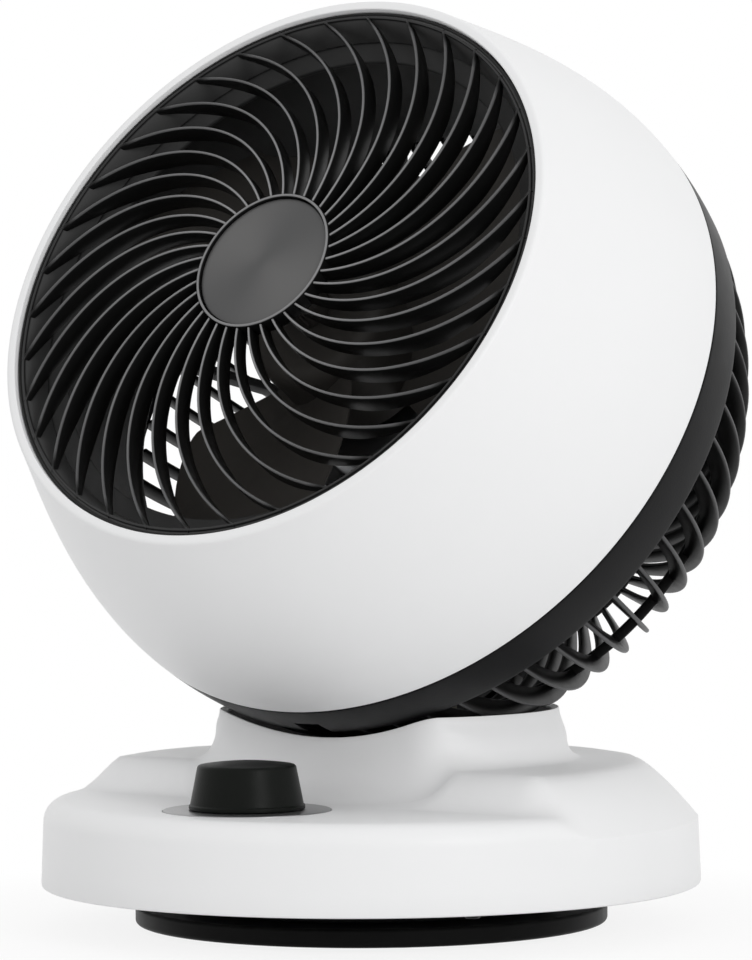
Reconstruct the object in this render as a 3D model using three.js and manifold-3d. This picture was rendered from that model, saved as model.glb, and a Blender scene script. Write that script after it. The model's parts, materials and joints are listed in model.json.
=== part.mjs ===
// Desk air circulator: a ball-shaped head on a round swivelling base.
// Millimetres, +Z up. The origin is on the swivel axis at the plane the feet stand on, and the front is -Y.
// The head is modelled along its own fan axis (local +Z blows forward, local +Y is the head's up)
// and is then tilted about the centre of the ball.
import * as THREE from 'three';
import { mergeVertices } from 'three/addons/utils/BufferGeometryUtils.js';
import Module from 'manifold-3d';

const wasm = await Module();
wasm.setup();

// Fits and walls
const gap = 0.3;                 // between two pieces that touch
const runGap = 0.6;              // between two pieces that turn in each other
const wall = 2.6;                // moulded covers
const screwRadius = 1.8;
const screwHeadRadius = 3.6;
const screwHeadHeight = 2;
const pilotGap = 0.4;            // round a screw's shank in its hole
const overcut = 1;               // how far a cutting tool runs past the face it cuts
const chamfer = 1;               // small broken edges

// Foot
const footRadius = 86.2;
const footThickness = 6.7;
const footEdge = 1.4;            // rounding of the foot's rim
const footHubRadius = 68;
const footHubHeight = 5.2;
const padRadius = 9;
const padThickness = 1.2;
const padInset = 22;             // the pads' circle, in from the foot's rim
const postRadius = 8;
const postBore = 4.5;
const postFlangeRadius = 14;
const postFlangeThickness = 2;
const centrePadRadius = 18;

// Base
const baseRadius = 120.3;
const baseBottom = 15.7;
const skirtDraft = 0.9;
const skirtTop = 39.4;
const deckHeight = 47.4;         // the lowered deck in front, round the knob
const domeHeight = 60.1;         // the raised part beside and behind the neck
const deckRimWidth = 8;          // how far in from the skirt the deck's edge starts to round off
const domeRimWidth = 22;
const domeBend = 1.3;            // how gently the dome's edge starts to fall
const deckEdgeY = -43;           // the slope between deck and dome starts here
const deckSlopeWidth = 14;
const panThickness = 2.5;
const panGap = 1;                // between the pan's edge and the skirt
const pillarRadius = 4;
const postletRadius = 3;
const slideInner = 48;
const slideOuter = 60;
const panScrewInset = 14.8;      // the pan screws' circle, in from the skirt
const panScrewAngles = [35, 145, 215, 325];
const hubTubeWall = 4;
const hubTubeHeight = 6;
const panBossRadius = 5;
const panScrewLength = 16;

// Neck and saddle
const saddleLow = 63.7;          // the lowest point of the saddle
const neckRadius = 62.4;         // the neck is round behind, about the ball's axis
const neckFront = 42.1;          // and cut flat in front, this far from that axis
const neckCorner = 6;            // how softly the flat runs into the round
const neckFlare = 2.8;           // how far the sides spread from the saddle to the deck
const neckFillet = 5.5;
const neckFrontSweep = 12.8;       // the wider sweep from the front face into the deck
const saddleGap = 1.5;           // between the ball and the saddle
const linerThickness = 3;
const linerLedge = 4.5;

// Head
const ballRadius = 133;
const ballCentreY = 12.1;
const headTilt = 29.6;           // degrees, fan axis above level, as photographed
const shellRear = -4.6;          // along the fan axis from the ball's centre
const shellLength = 0.6128;       // its front edge, as a share of the ball's radius
const shellBend = 1.27;          // the front shell is slightly fuller than a sphere towards its mouth
const shellBendFall = 0.0062;
const lipRise = 1.8;
const lipWidth = 5;
const lipDepth = 6;
const shellScrewInset = 14;      // the shell screws' circle, in from the ball's surface
const shellScrewAngles = [45, 135, 225, 315];
const shellBossRadius = 4.5;
const shellBossLength = 60;
const shellScrewLength = 20;
const lugThickness = 5;

// Front grille
const ribCount = 35;
const ribThickness = 1.8;
const ribProud = 3.1;            // the ribs' front edge stands this far out of the mouth at the hub
const ribSink = 1.1;             // and lies this far behind it at the rim
const ribDepthHub = 6.5;
const ribDepthRim = 10.2;
const ribBury = 0.5;             // how far its ends run into the hub disc
const ribNarrowing = 0.3;        // share of its thickness that a rib loses towards its front edge
const swirlRate = 0.46;          // degrees per mm from the hub disc outwards
const swirlGrowth = 0.0016;      // degrees per mm squared
const grilleRingWidth = 2.8;
const grilleRingDepth = 11.6;
const grilleRingProud = 0.4;     // over the ribs' edge at the rim
const hubDiscRadius = 27.4;
const hubDiscProud = 3.7;        // out of the mouth
const hubDiscThickness = 8;
const hubRimEdge = 0.8;
const badgeRadius = 26;
const badgeThickness = 1.4;
const badgeSink = 1.2;           // its edge lies this far below the hub disc's rim
const badgeDome = 0.5;

// Air duct and motor carrier
const ductStep = 3.3;            // the duct is this much narrower than the mouth
const ductWall = 2.4;
const ductRear = 4.5;
const throatStep = 9.5;          // a lip behind the grille stands this far into the duct
const throatThickness = 2;
const throatSlope = 1.5;
const carrierRear = -28;
const collarWall = 3;
const collarOverlap = 2.5;       // the collar round the mouth starts this far behind the grille
const spokeCount = 5;
const spokePhase = 104;          // degrees, where the first spoke stands
const spokeRootGap = 2;          // a spoke starts this far inside the seat ring's edge
const spokeThickness = 3.2;
const spokeDepth = 8;
const seatRingDepth = 9;
const seatRingInner = 36.4;
const seatRingOuter = 45;

// Motor
const motorRadius = 35.5;
const motorFrontLength = 22;
const motorRearLength = 42;
const motorWall = 2;
const motorFlangeRadius = 43.4;
const motorFlangeThickness = 3;
const motorScrewCircle = 40.6;
const motorScrewLength = 9;
const motorScrewAngles = [60, 180, 300];
const shaftRadius = 4;
const bearingRadius = 9;
const bearingWidth = 6;
const statorRadius = 31;
const statorBore = 19.2;
const statorLength = 26;
const windingLength = 6;
const windingWidth = 8;
const rotorRadius = 18.4;

// Fan wheel
const bladeCount = 3;
const tipGap = 4;                // between the blades and the duct
const bladeThickness = 2;
const bladeHubRadius = 29;
const bladeHubWall = 2.5;
const bladePhase = 84;           // degrees, where the first blade's rear edge stands
const bladeHubRear = 13;
const bladeHubFront = 52;
const bladeFront = 60;
const bladeRear = 16;
const bladeSpread = 110;         // degrees from the rear edge to the front edge at the hub
const bladeTaper = 27;           // degrees fewer at the tip
const bladeCornerCut = 44;       // degrees that the tip's rounded rear corner takes off
const bladeCornerFrom = 0.6;     // share of the span where that corner starts
const nutRadius = 8;
const nutHeight = 9;

// Rear guard
const bandRear = -25;            // rear edge of the solid band, along the fan axis
const finCount = 60;
const finThickness = 2;
const finDepth = 8;
const finInset = 0.4;            // the fins lie this much inside the band's surface
const finBends = 4;              // straight stretches that make up a fin's curve
const finPhase = 1.6;            // degrees
const guardHubRadius = 48;
const guardHubWidth = 8;
const capRadius = 45;
const capThickness = 3;

// Tilt track and its clamp
const tiltMax = 90;              // degrees, fan axis pointing straight up
const clampAngle = 9;            // degrees, the clamp's bolt leans back from plumb
const beamHalfWidth = 17;
const beamInset = 1.6;           // the beam lies this far inside the ball's surface
const beamThickness = 3;
const slotHalfWidth = 5.5;
const trackHalfWidth = 12.5;
const trackThickness = 2.5;
const shoeHalfWidth = 10;
const shoeThickness = 2.5;
const boltRadius = 4;
const boltHeadRadius = 6.5;
const boltHeadHeight = 2.8;
const boltTail = 20;
const stripCut = 12;             // how far the tools that cut round the strips reach in and out
const discSpringRadius = 11;
const discSpringHeight = 3;
const discSpringThickness = 1.6;
const clampNutRadius = 8.5;
const clampNutHeight = 6;

// Swing drive
const gearModule = 2;
const gearTeeth = 24;
const pinionTeeth = 12;
const gearWidth = 6;
const toothBacklash = 0.28;
const driveAngle = 150;          // degrees, where the pinion stands round the post
const pivotNutRadius = 13;
const pivotNutHeight = 5;
const swingMotorRadius = 17.5;
const swingMotorHeight = 16;
const swingEarReach = 23;
const swingEarThickness = 1.8;
const swingShaftRadius = 2.5;
const swingScrewLength = 10;

// Controls and electrics
const knobInset = 46.1;          // from the skirt to the knob's axis
const knobRadius = 20.5;
const knobTopRadius = 17.3;
const knobHeight = 15.4;
const knobDome = 1.4;
const knobEdge = 1.2;
const dialRadius = 29.7;
const dialThickness = 1;
const dialProud = 0.3;
const switchHalf = 14;
const switchHeight = 15;
const switchShaftRadius = 3;
const switchCollarRadius = 4.6;
const boardLength = 54;
const boardWidth = 34;
const boardThickness = 1.6;
const boardInset = 43.3;         // from the skirt to the board's middle
const boardY = -24;
const boardPost = 6;
const capacitorRadius = 8;
const capacitorLength = 28;
const ballastInner = 52;
const ballastInset = 23.3;       // from the skirt to the ballast's outer edge
const ballastThickness = 9;
const ballastFrom = -12;         // degrees
const ballastTo = 118;
const glandRadius = 6;
const glandFlangeRadius = 8.5;
const glandBore = 3.6;
const glandHeight = 28;
const glandReach = 7;

// Derived places
const rad = THREE.MathUtils.degToRad;
const footUnderside = padThickness + gap;
const footTop = footUnderside + footThickness;
const footHubTop = footTop + footHubHeight;
const panTop = baseBottom + panThickness;
const padCircle = footRadius - padInset;
const panScrewCircle = baseRadius - panScrewInset;
const knobY = knobInset - baseRadius;
const boardX = boardInset - baseRadius;
const ballastOuter = baseRadius - ballastInset;
const saddleRadius = ballRadius + saddleGap;
const ballCentreZ = saddleLow + saddleRadius;
const shellFront = ballRadius * shellLength;
const shellScrewCircle = ballRadius - shellScrewInset;
const mouthFront = shellFront + lipRise;
const mouthRadius = shellRadius(shellFront) - lipWidth;
const lipBack = mouthFront - chamfer - lipDepth;
const ribFrontHub = mouthFront + ribProud;
const ribFrontRim = mouthFront - ribSink;
const hubDiscFront = mouthFront + hubDiscProud;
const hubPocket = hubDiscFront - badgeSink - badgeThickness - gap;
const grilleFront = ribFrontRim + grilleRingProud;
const grilleRear = grilleFront - grilleRingDepth;
const ductRadius = mouthRadius - ductStep;
const bladeTipRadius = ductRadius - tipGap;
const beamRadius = ballRadius - beamInset;
const beamUnder = beamRadius - beamThickness;
const hubTubeTop = panTop + hubTubeHeight;
const switchBottom = deckHeight - wall - gap - switchHeight;
const slotMargin = THREE.MathUtils.radToDeg((boltRadius + chamfer) / beamRadius);
const gearBottom = hubTubeTop + runGap;
const gearTop = gearBottom + gearWidth;
const gearPitch = gearModule * gearTeeth / 2;
const pinionPitch = gearModule * pinionTeeth / 2;
const driveCentre = gearPitch + pinionPitch + gap;
const driveX = driveCentre * Math.cos(rad(driveAngle));
const driveY = driveCentre * Math.sin(rad(driveAngle));
const earSpots = [-90, 90].map((turn) => onCircle(swingEarReach, driveAngle + turn));
const earBottom = gearTop + gap + runGap;
const slotStart = 90 - clampAngle;
const slotEnd = 90 - clampAngle - tiltMax;

// Facets
const fine = 40;
const coverRays = 44;
const medium = 28;
const small = 14;
const tiny = 6;
const sliver = 0.02;             // corners nearer to a flat face than this are dropped

// Finishes
function plastic(color, roughness = 0.45) {
  return new THREE.MeshStandardMaterial({ color, roughness, metalness: 0 });
}

function metal(color, roughness = 0.35) {
  return new THREE.MeshStandardMaterial({ color, roughness, metalness: 1 });
}

// A closed mesh with shared corners and no collapsed triangles, its faces pointing out
function weld(source) {
  const bare = source.clone();
  bare.deleteAttribute('normal');
  bare.deleteAttribute('uv');
  const merged = mergeVertices(bare, 1e-4);
  const index = merged.index.array;
  const place = merged.attributes.position;
  const corner = [new THREE.Vector3(), new THREE.Vector3(), new THREE.Vector3()];
  const kept = [];
  let volume = 0;
  for (let i = 0; i < index.length; i += 3) {
    const [a, b, c] = index.slice(i, i + 3);
    if (a === b || b === c || c === a) {
      continue;
    }
    kept.push(a, b, c);
    [a, b, c].forEach((vertex, n) => corner[n].fromBufferAttribute(place, vertex));
    volume += corner[0].dot(corner[1].cross(corner[2]));
  }
  merged.setIndex(volume < 0 ? kept.reverse() : kept);
  return merged;
}

function solid(geometry) {
  const closed = weld(geometry);
  const vertProperties = Float32Array.from(closed.attributes.position.array);
  const triVerts = Uint32Array.from(closed.index.array);
  return new wasm.Manifold(new wasm.Mesh({ numProp: 3, vertProperties, triVerts }));
}

function shape(manifold) {
  const mesh = manifold.asOriginal().simplify(sliver).getMesh();
  const geometry = new THREE.BufferGeometry();
  geometry.setAttribute('position', new THREE.Float32BufferAttribute(mesh.vertProperties, 3));
  geometry.setIndex(Array.from(mesh.triVerts));
  return geometry;
}

function joined(...geometries) {
  return geometries.map(solid).reduce((whole, piece) => whole.add(piece));
}

function cut(body, ...tools) {
  return tools.map(solid).reduce((whole, tool) => whole.subtract(tool), body);
}

// A body of revolution about Z from [radius, height] points; an outline off the axis closes on itself
function revolve(outline, segments = medium) {
  const points = outline.map(([r, z]) => new THREE.Vector2(r, z));
  if (outline[0][0] > 0) {
    points.push(points[0].clone());
  }
  return new THREE.LatheGeometry(points, segments).rotateX(Math.PI / 2);
}

function disc(radius, bottom, top, segments = small) {
  return revolve([[0, bottom], [radius, bottom], [radius, top], [0, top]], segments);
}

function tube(inner, outer, bottom, top, segments = small) {
  return revolve([[inner, bottom], [outer, bottom], [outer, top], [inner, top]], segments);
}

function block(halfX, halfY, bottom, top) {
  return new THREE.BoxGeometry(2 * halfX, 2 * halfY, top - bottom).translate(0, 0, (top + bottom) / 2);
}

// A skin over rings of equally many points: closed on itself, or capped at both ends by strips
// that run across from the first half of the end's ring to its second half
function skin(rings, closesOnItself = false) {
  const count = rings[0].length;
  const corners = rings.flat();
  const index = [];
  const last = closesOnItself ? rings.length : rings.length - 1;
  for (let ring = 0; ring < last; ring += 1) {
    const here = ring * count;
    const next = ((ring + 1) % rings.length) * count;
    for (let i = 0; i < count; i += 1) {
      const j = (i + 1) % count;
      index.push(here + i, here + j, next + j, here + i, next + j, next + i);
    }
  }
  if (!closesOnItself) {
    const tail = (rings.length - 1) * count;
    for (let i = 0; i < count / 2 - 1; i += 1) {
      const [a, b, c, d] = [i, i + 1, count - 2 - i, count - 1 - i];
      index.push(a, c, b, a, d, c);
      index.push(tail + a, tail + b, tail + c, tail + a, tail + c, tail + d);
    }
  }
  const geometry = new THREE.BufferGeometry().setFromPoints(corners);
  geometry.setIndex(index);
  return geometry;
}

function onCircle(radius, degrees, z = 0) {
  return [radius * Math.cos(rad(degrees)), radius * Math.sin(rad(degrees)), z];
}

// A point on a sphere about the ball's centre, from its angle off the rear pole
function onBall(radius, offRearPole) {
  return [radius * Math.sin(rad(offRearPole)), -radius * Math.cos(rad(offRearPole))];
}

function smoothStep(value) {
  const t = THREE.MathUtils.clamp(value, 0, 1);
  return t * t * (3 - 2 * t);
}

const fan = new THREE.Group();
const head = new THREE.Group();
const clamp = new THREE.Group();
head.position.set(0, ballCentreY, ballCentreZ);
head.rotation.x = rad(90 - headTilt);
clamp.position.set(0, ballCentreY, ballCentreZ);
clamp.rotation.x = Math.PI + rad(clampAngle);
fan.add(head, clamp);

function add(group, name, form, material, at = [0, 0, 0]) {
  const geometry = form.isBufferGeometry ? weld(form) : shape(form);
  const mesh = new THREE.Mesh(geometry, material);
  mesh.name = name;
  mesh.position.set(...at);
  group.add(mesh);
}

// A screw that points along +Z: its head starts below the origin, where its shank starts
function screw(length) {
  return revolve([
    [0, -screwHeadHeight],
    [screwHeadRadius * 0.8, -screwHeadHeight],
    [screwHeadRadius, 0],
    [screwRadius, 0],
    [screwRadius, length],
    [0, length],
  ], tiny);
}

// ---- Foot: a weighted disc that stays put while the base swings on it
function footPlate() {
  const body = solid(revolve([
    [0, footUnderside],
    [footRadius - footEdge, footUnderside],
    [footRadius, footUnderside + footEdge],
    [footRadius, footTop - footEdge],
    [footRadius - footEdge, footTop],
    [footHubRadius, footTop],
    [footHubRadius, footHubTop],
    [0, footHubTop],
  ], fine));
  return cut(
    body,
    disc(postFlangeRadius + gap, footUnderside - 1, footUnderside + postFlangeThickness + gap),
    disc(postRadius + gap, footUnderside - 1, footHubTop + 1),
  );
}

function foot() {
  const rubber = plastic(0x1b1b1b, 0.9);
  const steel = metal(0xb9bcc0);
  const flangeBottom = footUnderside;
  const postTop = gearTop + gap + pivotNutHeight + gap;
  add(fan, 'foot_plate', footPlate(), plastic(0x0c0c0d, 0.25));
  [45, 135, 225, 315].forEach((angle, n) => {
    add(fan, `rubber_foot_${n + 1}`, disc(padRadius, 0, padThickness), rubber, onCircle(padCircle, angle));
  });
  add(fan, 'centre_pad', disc(centrePadRadius, 0, padThickness), rubber);
  add(fan, 'pivot_post', revolve([
    [postBore, flangeBottom],
    [postFlangeRadius, flangeBottom],
    [postFlangeRadius, flangeBottom + postFlangeThickness],
    [postRadius, flangeBottom + postFlangeThickness],
    [postRadius, postTop],
    [postBore, postTop],
  ], small), steel);
  add(fan, 'pivot_nut', cut(
    solid(disc(pivotNutRadius, gearTop + gap, gearTop + gap + pivotNutHeight, 6)),
    disc(postRadius + gap, gearTop, postTop + 1),
  ), steel);
}

// ---- Swing drive: a pinion on the base walks round a gear that is fixed to the foot
function gearOutline(teeth, phase) {
  const pitch = gearModule * teeth / 2;
  const base = pitch * Math.cos(rad(20));
  const root = pitch - 1.25 * gearModule;
  const tip = pitch + gearModule;
  const involute = (radius) => {
    const roll = Math.sqrt(Math.max(0, (radius / base) ** 2 - 1));
    return roll - Math.atan(roll);
  };
  const halfAtPitch = Math.PI / (2 * teeth) - toothBacklash / pitch;
  const halfAt = (radius) => halfAtPitch + involute(pitch) - involute(radius);
  const outline = [];
  for (let tooth = 0; tooth < teeth; tooth += 1) {
    const middle = phase + 2 * Math.PI * tooth / teeth;
    const flank = [root, tip];
    flank.forEach((radius) => outline.push([radius, middle - halfAt(radius)]));
    flank.reverse().forEach((radius) => outline.push([radius, middle + halfAt(radius)]));
  }
  return outline.map(([radius, angle]) => {
    return new THREE.Vector2(radius * Math.cos(angle), radius * Math.sin(angle));
  });
}

function gear(teeth, phase) {
  const outline = new THREE.Shape(gearOutline(teeth, phase));
  const body = new THREE.ExtrudeGeometry(outline, { depth: gearWidth, bevelEnabled: false });
  return body.translate(0, 0, gearBottom);
}

function swingDrive() {
  const nylon = plastic(0xe8e4d8, 0.5);
  const towards = rad(driveAngle);
  const facing = towards + Math.PI;
  const shaftTop = gearTop + gap + swingEarThickness + 2;
  const bore = disc(postRadius + gap, gearBottom - 1, gearTop + 1);
  add(fan, 'swivel_gear', cut(solid(gear(gearTeeth, towards)), bore), nylon);
  const pinion = joined(
    gear(pinionTeeth, facing + Math.PI / pinionTeeth),
    disc(swingShaftRadius, gearBottom - 2, shaftTop, small),
  );
  add(fan, 'swing_pinion', pinion, nylon, [driveX, driveY, 0]);
  const motorTop = earBottom + swingEarThickness + swingMotorHeight;
  const ears = new THREE.BoxGeometry(2 * swingEarReach + 8, 9, swingEarThickness);
  ears.rotateZ(rad(driveAngle + 90)).translate(0, 0, earBottom + swingEarThickness / 2);
  const screwHoles = earSpots.map(([x, y]) => {
    const hole = disc(screwRadius + pilotGap, earBottom - 1, earBottom + swingEarThickness + 1, tiny);
    return hole.translate(x, y, 0);
  });
  const motor = cut(
    joined(ears, disc(swingMotorRadius, earBottom + 0.1, motorTop)),
    ...screwHoles,
    disc(swingShaftRadius + gap, earBottom - 1, shaftTop + 1, small),
  );
  add(fan, 'swing_motor', motor, metal(0xa9acb0), [driveX, driveY, 0]);
  earSpots.forEach(([x, y], n) => {
    const form = screw(swingScrewLength).rotateX(Math.PI);
    const at = [driveX + x, driveY + y, earBottom + swingEarThickness + gap];
    add(fan, `swing_motor_screw_${n + 1}`, form, metal(0x8e9196), at);
  });
}

// ---- Base: a pan and a moulded cover with the neck
function plateau(x, y) {
  const r = Math.hypot(x, y);
  const topRadius = baseRadius - skirtDraft;
  const fall = (width, bend, power, height) => {
    const along = THREE.MathUtils.clamp((r - topRadius + width) / width, 0, 1);
    return skirtTop + (height - skirtTop) * (1 - along ** bend) ** power;
  };
  const raised = smoothStep((y - deckEdgeY) / deckSlopeWidth);
  const deck = fall(deckRimWidth, 2, 0.5, deckHeight);
  const dome = fall(domeRimWidth, domeBend, 1, domeHeight);
  return deck + (dome - deck) * raised;
}

function saddleAt(x, y, radius) {
  return ballCentreZ - Math.sqrt(radius ** 2 - x ** 2 - (y - ballCentreY) ** 2);
}

// How far a ray from the middle of the neck runs to the neck's outline, a round cut flat in front
function neckReach(angle, offset) {
  const round = neckRadius + offset;
  const flat = (neckFront + offset) / Math.max(-Math.sin(angle), 0.05);
  const share = THREE.MathUtils.clamp(0.5 + 0.5 * (flat - round) / neckCorner, 0, 1);
  return THREE.MathUtils.lerp(flat, round, share) - neckCorner * share * (1 - share);
}

function rimReach(angle, radius) {
  const s = ballCentreY * Math.sin(angle);
  return -s + Math.sqrt(s ** 2 - ballCentreY ** 2 + radius ** 2);
}

// One spoke of the cover's skin, from the saddle's edge out to the rim and back in underneath
function coverSpoke(angle) {
  const at = (reach, height) => {
    const x = reach * Math.cos(angle);
    const y = ballCentreY + reach * Math.sin(angle);
    return new THREE.Vector3(x, y, typeof height === 'function' ? height(x, y) : height);
  };
  const saddle = (x, y) => saddleAt(x, y, saddleRadius);
  const front = smoothStep((-Math.sin(angle) - 0.35) / 0.45);
  const sweep = THREE.MathUtils.lerp(neckFillet, neckFrontSweep, front);
  const wallReach = neckReach(angle, 0) + neckFlare * (1 - front);
  const footReach = wallReach + sweep;
  const foot = at(footReach, plateau);
  const top = at(neckReach(angle, 0), saddle);
  const rise = Math.min(1.3 * sweep, 0.62 * (top.z - foot.z));
  const spoke = [top, at(wallReach, foot.z + rise)];
  [30, 60].forEach((turn) => {
    const reach = footReach - sweep * Math.cos(rad(turn));
    spoke.push(at(reach, foot.z + rise * (1 - Math.sin(rad(turn)))));
  });
  spoke.push(foot);
  const rimStart = rimReach(angle, baseRadius - skirtDraft - deckRimWidth);
  [0.25, 0.5, 0.75, 1].forEach((share) => {
    spoke.push(at(THREE.MathUtils.lerp(footReach, rimStart, share), plateau));
  });
  [0.6, 1].forEach((share) => {
    spoke.push(at(rimReach(angle, baseRadius - skirtDraft - deckRimWidth * (1 - share)), plateau));
  });
  spoke.push(at(rimReach(angle, baseRadius), baseBottom + 1));
  spoke.push(at(rimReach(angle, baseRadius - 0.8), baseBottom));
  // Inside: skirt, ceiling, the ledge that carries the saddle's liner, and the neck's mouth
  const ceiling = (x, y) => plateau(x, y) - wall;
  const insideRim = baseRadius - skirtDraft - wall;
  spoke.push(at(rimReach(angle, baseRadius - wall), baseBottom));
  spoke.push(at(rimReach(angle, insideRim), skirtTop - wall));
  const insideEdge = rimReach(angle, insideRim - deckRimWidth);
  const insideNeck = neckReach(angle, -wall - linerLedge);
  const innerFoot = footReach - wall;
  spoke.push(at(insideEdge, ceiling));
  [0.5, 0].forEach((share) => {
    spoke.push(at(THREE.MathUtils.lerp(innerFoot, insideEdge, share), ceiling));
  });
  const seat = (x, y) => saddleAt(x, y, saddleRadius + linerThickness + 2 * gap);
  spoke.push(at(insideNeck, foot.z - wall));
  spoke.push(at(insideNeck, seat));
  spoke.push(at(neckReach(angle, -wall), seat));
  spoke.push(at(neckReach(angle, -wall), saddle));
  return spoke;
}

function pointsRound(count, make) {
  return Array.from({ length: count }, (_, n) => make(2 * Math.PI * n / count));
}

function baseCover() {
  const spokes = pointsRound(coverRays, coverSpoke);
  const rings = spokes[0].map((_, level) => spokes.map((spoke) => spoke[level]));
  const bosses = panScrewAngles.map((angle) => {
    const [x, y] = onCircle(panScrewCircle, angle);
    const outermost = onCircle(panScrewCircle + panBossRadius, angle);
    const top = plateau(outermost[0], outermost[1]) - wall / 2;
    return disc(panBossRadius, panTop + gap, top, small / 2).translate(x, y, 0);
  });
  const pilots = panScrewAngles.map((angle) => {
    const [x, y] = onCircle(panScrewCircle, angle);
    const top = baseBottom + panScrewLength + 1;
    return disc(screwRadius + pilotGap, panTop - 1, top, tiny).translate(x, y, 0);
  });
  const recessFloor = deckHeight - dialThickness + dialProud - gap;
  const recess = disc(dialRadius + gap, recessFloor, deckHeight + wall, medium);
  const glandHole = disc(glandRadius + gap, -2 * glandReach, 2 * glandReach);
  return cut(
    joined(skin(rings, true), ...bosses),
    ...pilots,
    recess.translate(0, knobY, 0),
    disc(switchCollarRadius + gap, deckHeight - 2 * wall, deckHeight + wall).translate(0, knobY, 0),
    glandHole.rotateX(Math.PI / 2).translate(0, baseRadius, glandHeight),
  );
}

function basePan() {
  const rim = baseRadius - wall - panGap;
  const plate = revolve([
    [postRadius + runGap, baseBottom],
    [rim, baseBottom],
    [rim, panTop],
    [postRadius + runGap + hubTubeWall, panTop],
    [postRadius + runGap + hubTubeWall, hubTubeTop],
    [postRadius + runGap, hubTubeTop],
  ], fine);
  const pillars = earSpots.map(([x, y]) => {
    const pillar = disc(pillarRadius, panTop - 1, earBottom - gap, small / 2);
    return pillar.translate(driveX + x, driveY + y, 0);
  });
  const boardPosts = [-1, 1].map((side) => {
    const post = disc(postletRadius, panTop - 1, panTop + boardPost, small / 2);
    return post.translate(boardX + side * boardLength * 0.4, boardY, 0);
  });
  const switchPosts = [-1, 1].map((side) => {
    const post = disc(postletRadius, panTop - 1, switchBottom - gap, small / 2);
    return post.translate(side * switchHalf * 0.6, knobY, 0);
  });
  const motorHoles = earSpots.map(([x, y]) => {
    const hole = disc(screwRadius + pilotGap, earBottom - swingScrewLength, earBottom + 1, tiny);
    return hole.translate(driveX + x, driveY + y, 0);
  });
  const screwHoles = panScrewAngles.map((angle) => {
    const [x, y] = onCircle(panScrewCircle, angle);
    return disc(screwRadius + pilotGap, baseBottom - 1, panTop + 1, tiny).translate(x, y, 0);
  });
  return cut(joined(plate, ...pillars, ...boardPosts, ...switchPosts), ...motorHoles, ...screwHoles);
}

// The black liner in the neck's mouth, hollowed to the ball
function saddleLiner() {
  const inset = -wall - gap;
  const shares = [0.04, 0.35, 0.68, 1];
  const layer = (radius) => shares.map((share) => pointsRound(coverRays, (angle) => {
    const reach = share * neckReach(angle, inset);
    const x = reach * Math.cos(angle);
    const y = ballCentreY + reach * Math.sin(angle);
    return new THREE.Vector3(x, y, saddleAt(x, y, radius));
  }));
  const top = layer(saddleRadius + gap);
  const under = layer(saddleRadius + gap + linerThickness);
  const hole = disc(boltRadius + runGap, saddleRadius - stripCut, saddleRadius + stripCut, small);
  hole.rotateX(clamp.rotation.x).translate(0, ballCentreY, ballCentreZ);
  return cut(solid(skin([...top, ...under.reverse()])), hole);
}

function controls() {
  const shaftBottom = switchBottom + 4;
  const knobBottom = deckHeight + dialProud + gap;
  const knobTop = knobBottom + knobHeight;
  const dialBottom = deckHeight + dialProud - dialThickness;
  const shaftTop = knobBottom + knobHeight * 0.7;
  const collarBottom = switchBottom + switchHeight - overcut;
  const collar = tube(switchShaftRadius + gap, switchCollarRadius, collarBottom, dialBottom - gap);
  const housing = cut(
    joined(block(switchHalf, switchHalf, switchBottom, switchBottom + switchHeight), collar),
    disc(switchShaftRadius + gap, shaftBottom - gap, deckHeight + 1),
  );
  add(fan, 'rotary_switch', housing, plastic(0x23262a), [0, knobY, 0]);
  const dial = tube(switchCollarRadius + gap, dialRadius, dialBottom, dialBottom + dialThickness, medium);
  add(fan, 'dial_plate', dial, metal(0x6e6f70, 0.4), [0, knobY, 0]);
  add(fan, 'switch_shaft', disc(switchShaftRadius, shaftBottom, shaftTop), metal(0xc8c8c8), [0, knobY, 0]);
  add(fan, 'speed_knob', revolve([
    [switchShaftRadius + gap, knobBottom],
    [knobRadius, knobBottom],
    [knobTopRadius + 0.1, knobTop - knobEdge],
    [knobTopRadius - knobEdge, knobTop],
    [knobTopRadius * 0.5, knobTop + knobDome * 0.8],
    [0, knobTop + knobDome],
    [0, shaftTop + gap],
    [switchShaftRadius + gap, shaftTop + gap],
  ].reverse(), medium), plastic(0x1b1d1b, 0.4), [0, knobY, 0]);
}

function electrics() {
  const boardBottom = panTop + boardPost + gap;
  add(fan, 'control_board', block(boardLength / 2, boardWidth / 2, boardBottom, boardBottom + boardThickness),
    plastic(0x1d5a36, 0.6), [boardX, boardY, 0]);
  const capacitor = disc(capacitorRadius, -capacitorLength / 2, capacitorLength / 2, small / 2);
  capacitor.rotateY(Math.PI / 2);
  add(fan, 'run_capacitor', capacitor, plastic(0xd9d6cc, 0.5),
    [boardX, boardY, boardBottom + boardThickness + gap + capacitorRadius]);
  const arc = new THREE.Shape();
  arc.absarc(0, 0, ballastOuter, rad(ballastFrom), rad(ballastTo), false);
  arc.absarc(0, 0, ballastInner, rad(ballastTo), rad(ballastFrom), true);
  const ballast = new THREE.ExtrudeGeometry(arc, {
    depth: ballastThickness,
    bevelEnabled: false,
    curveSegments: 10,
  });
  add(fan, 'ballast_plate', ballast, metal(0x55585c, 0.7), [0, 0, panTop + gap]);
  const inside = -wall - glandReach + 1;
  const gland = revolve([
    [glandBore, inside],
    [glandRadius, inside],
    [glandRadius, gap],
    [glandFlangeRadius, gap],
    [glandFlangeRadius - 1.5, glandReach],
    [glandBore, glandReach],
  ], small).rotateX(-Math.PI / 2);
  add(fan, 'cord_gland', gland, plastic(0x161616, 0.8), [0, baseRadius, glandHeight]);
}

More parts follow.
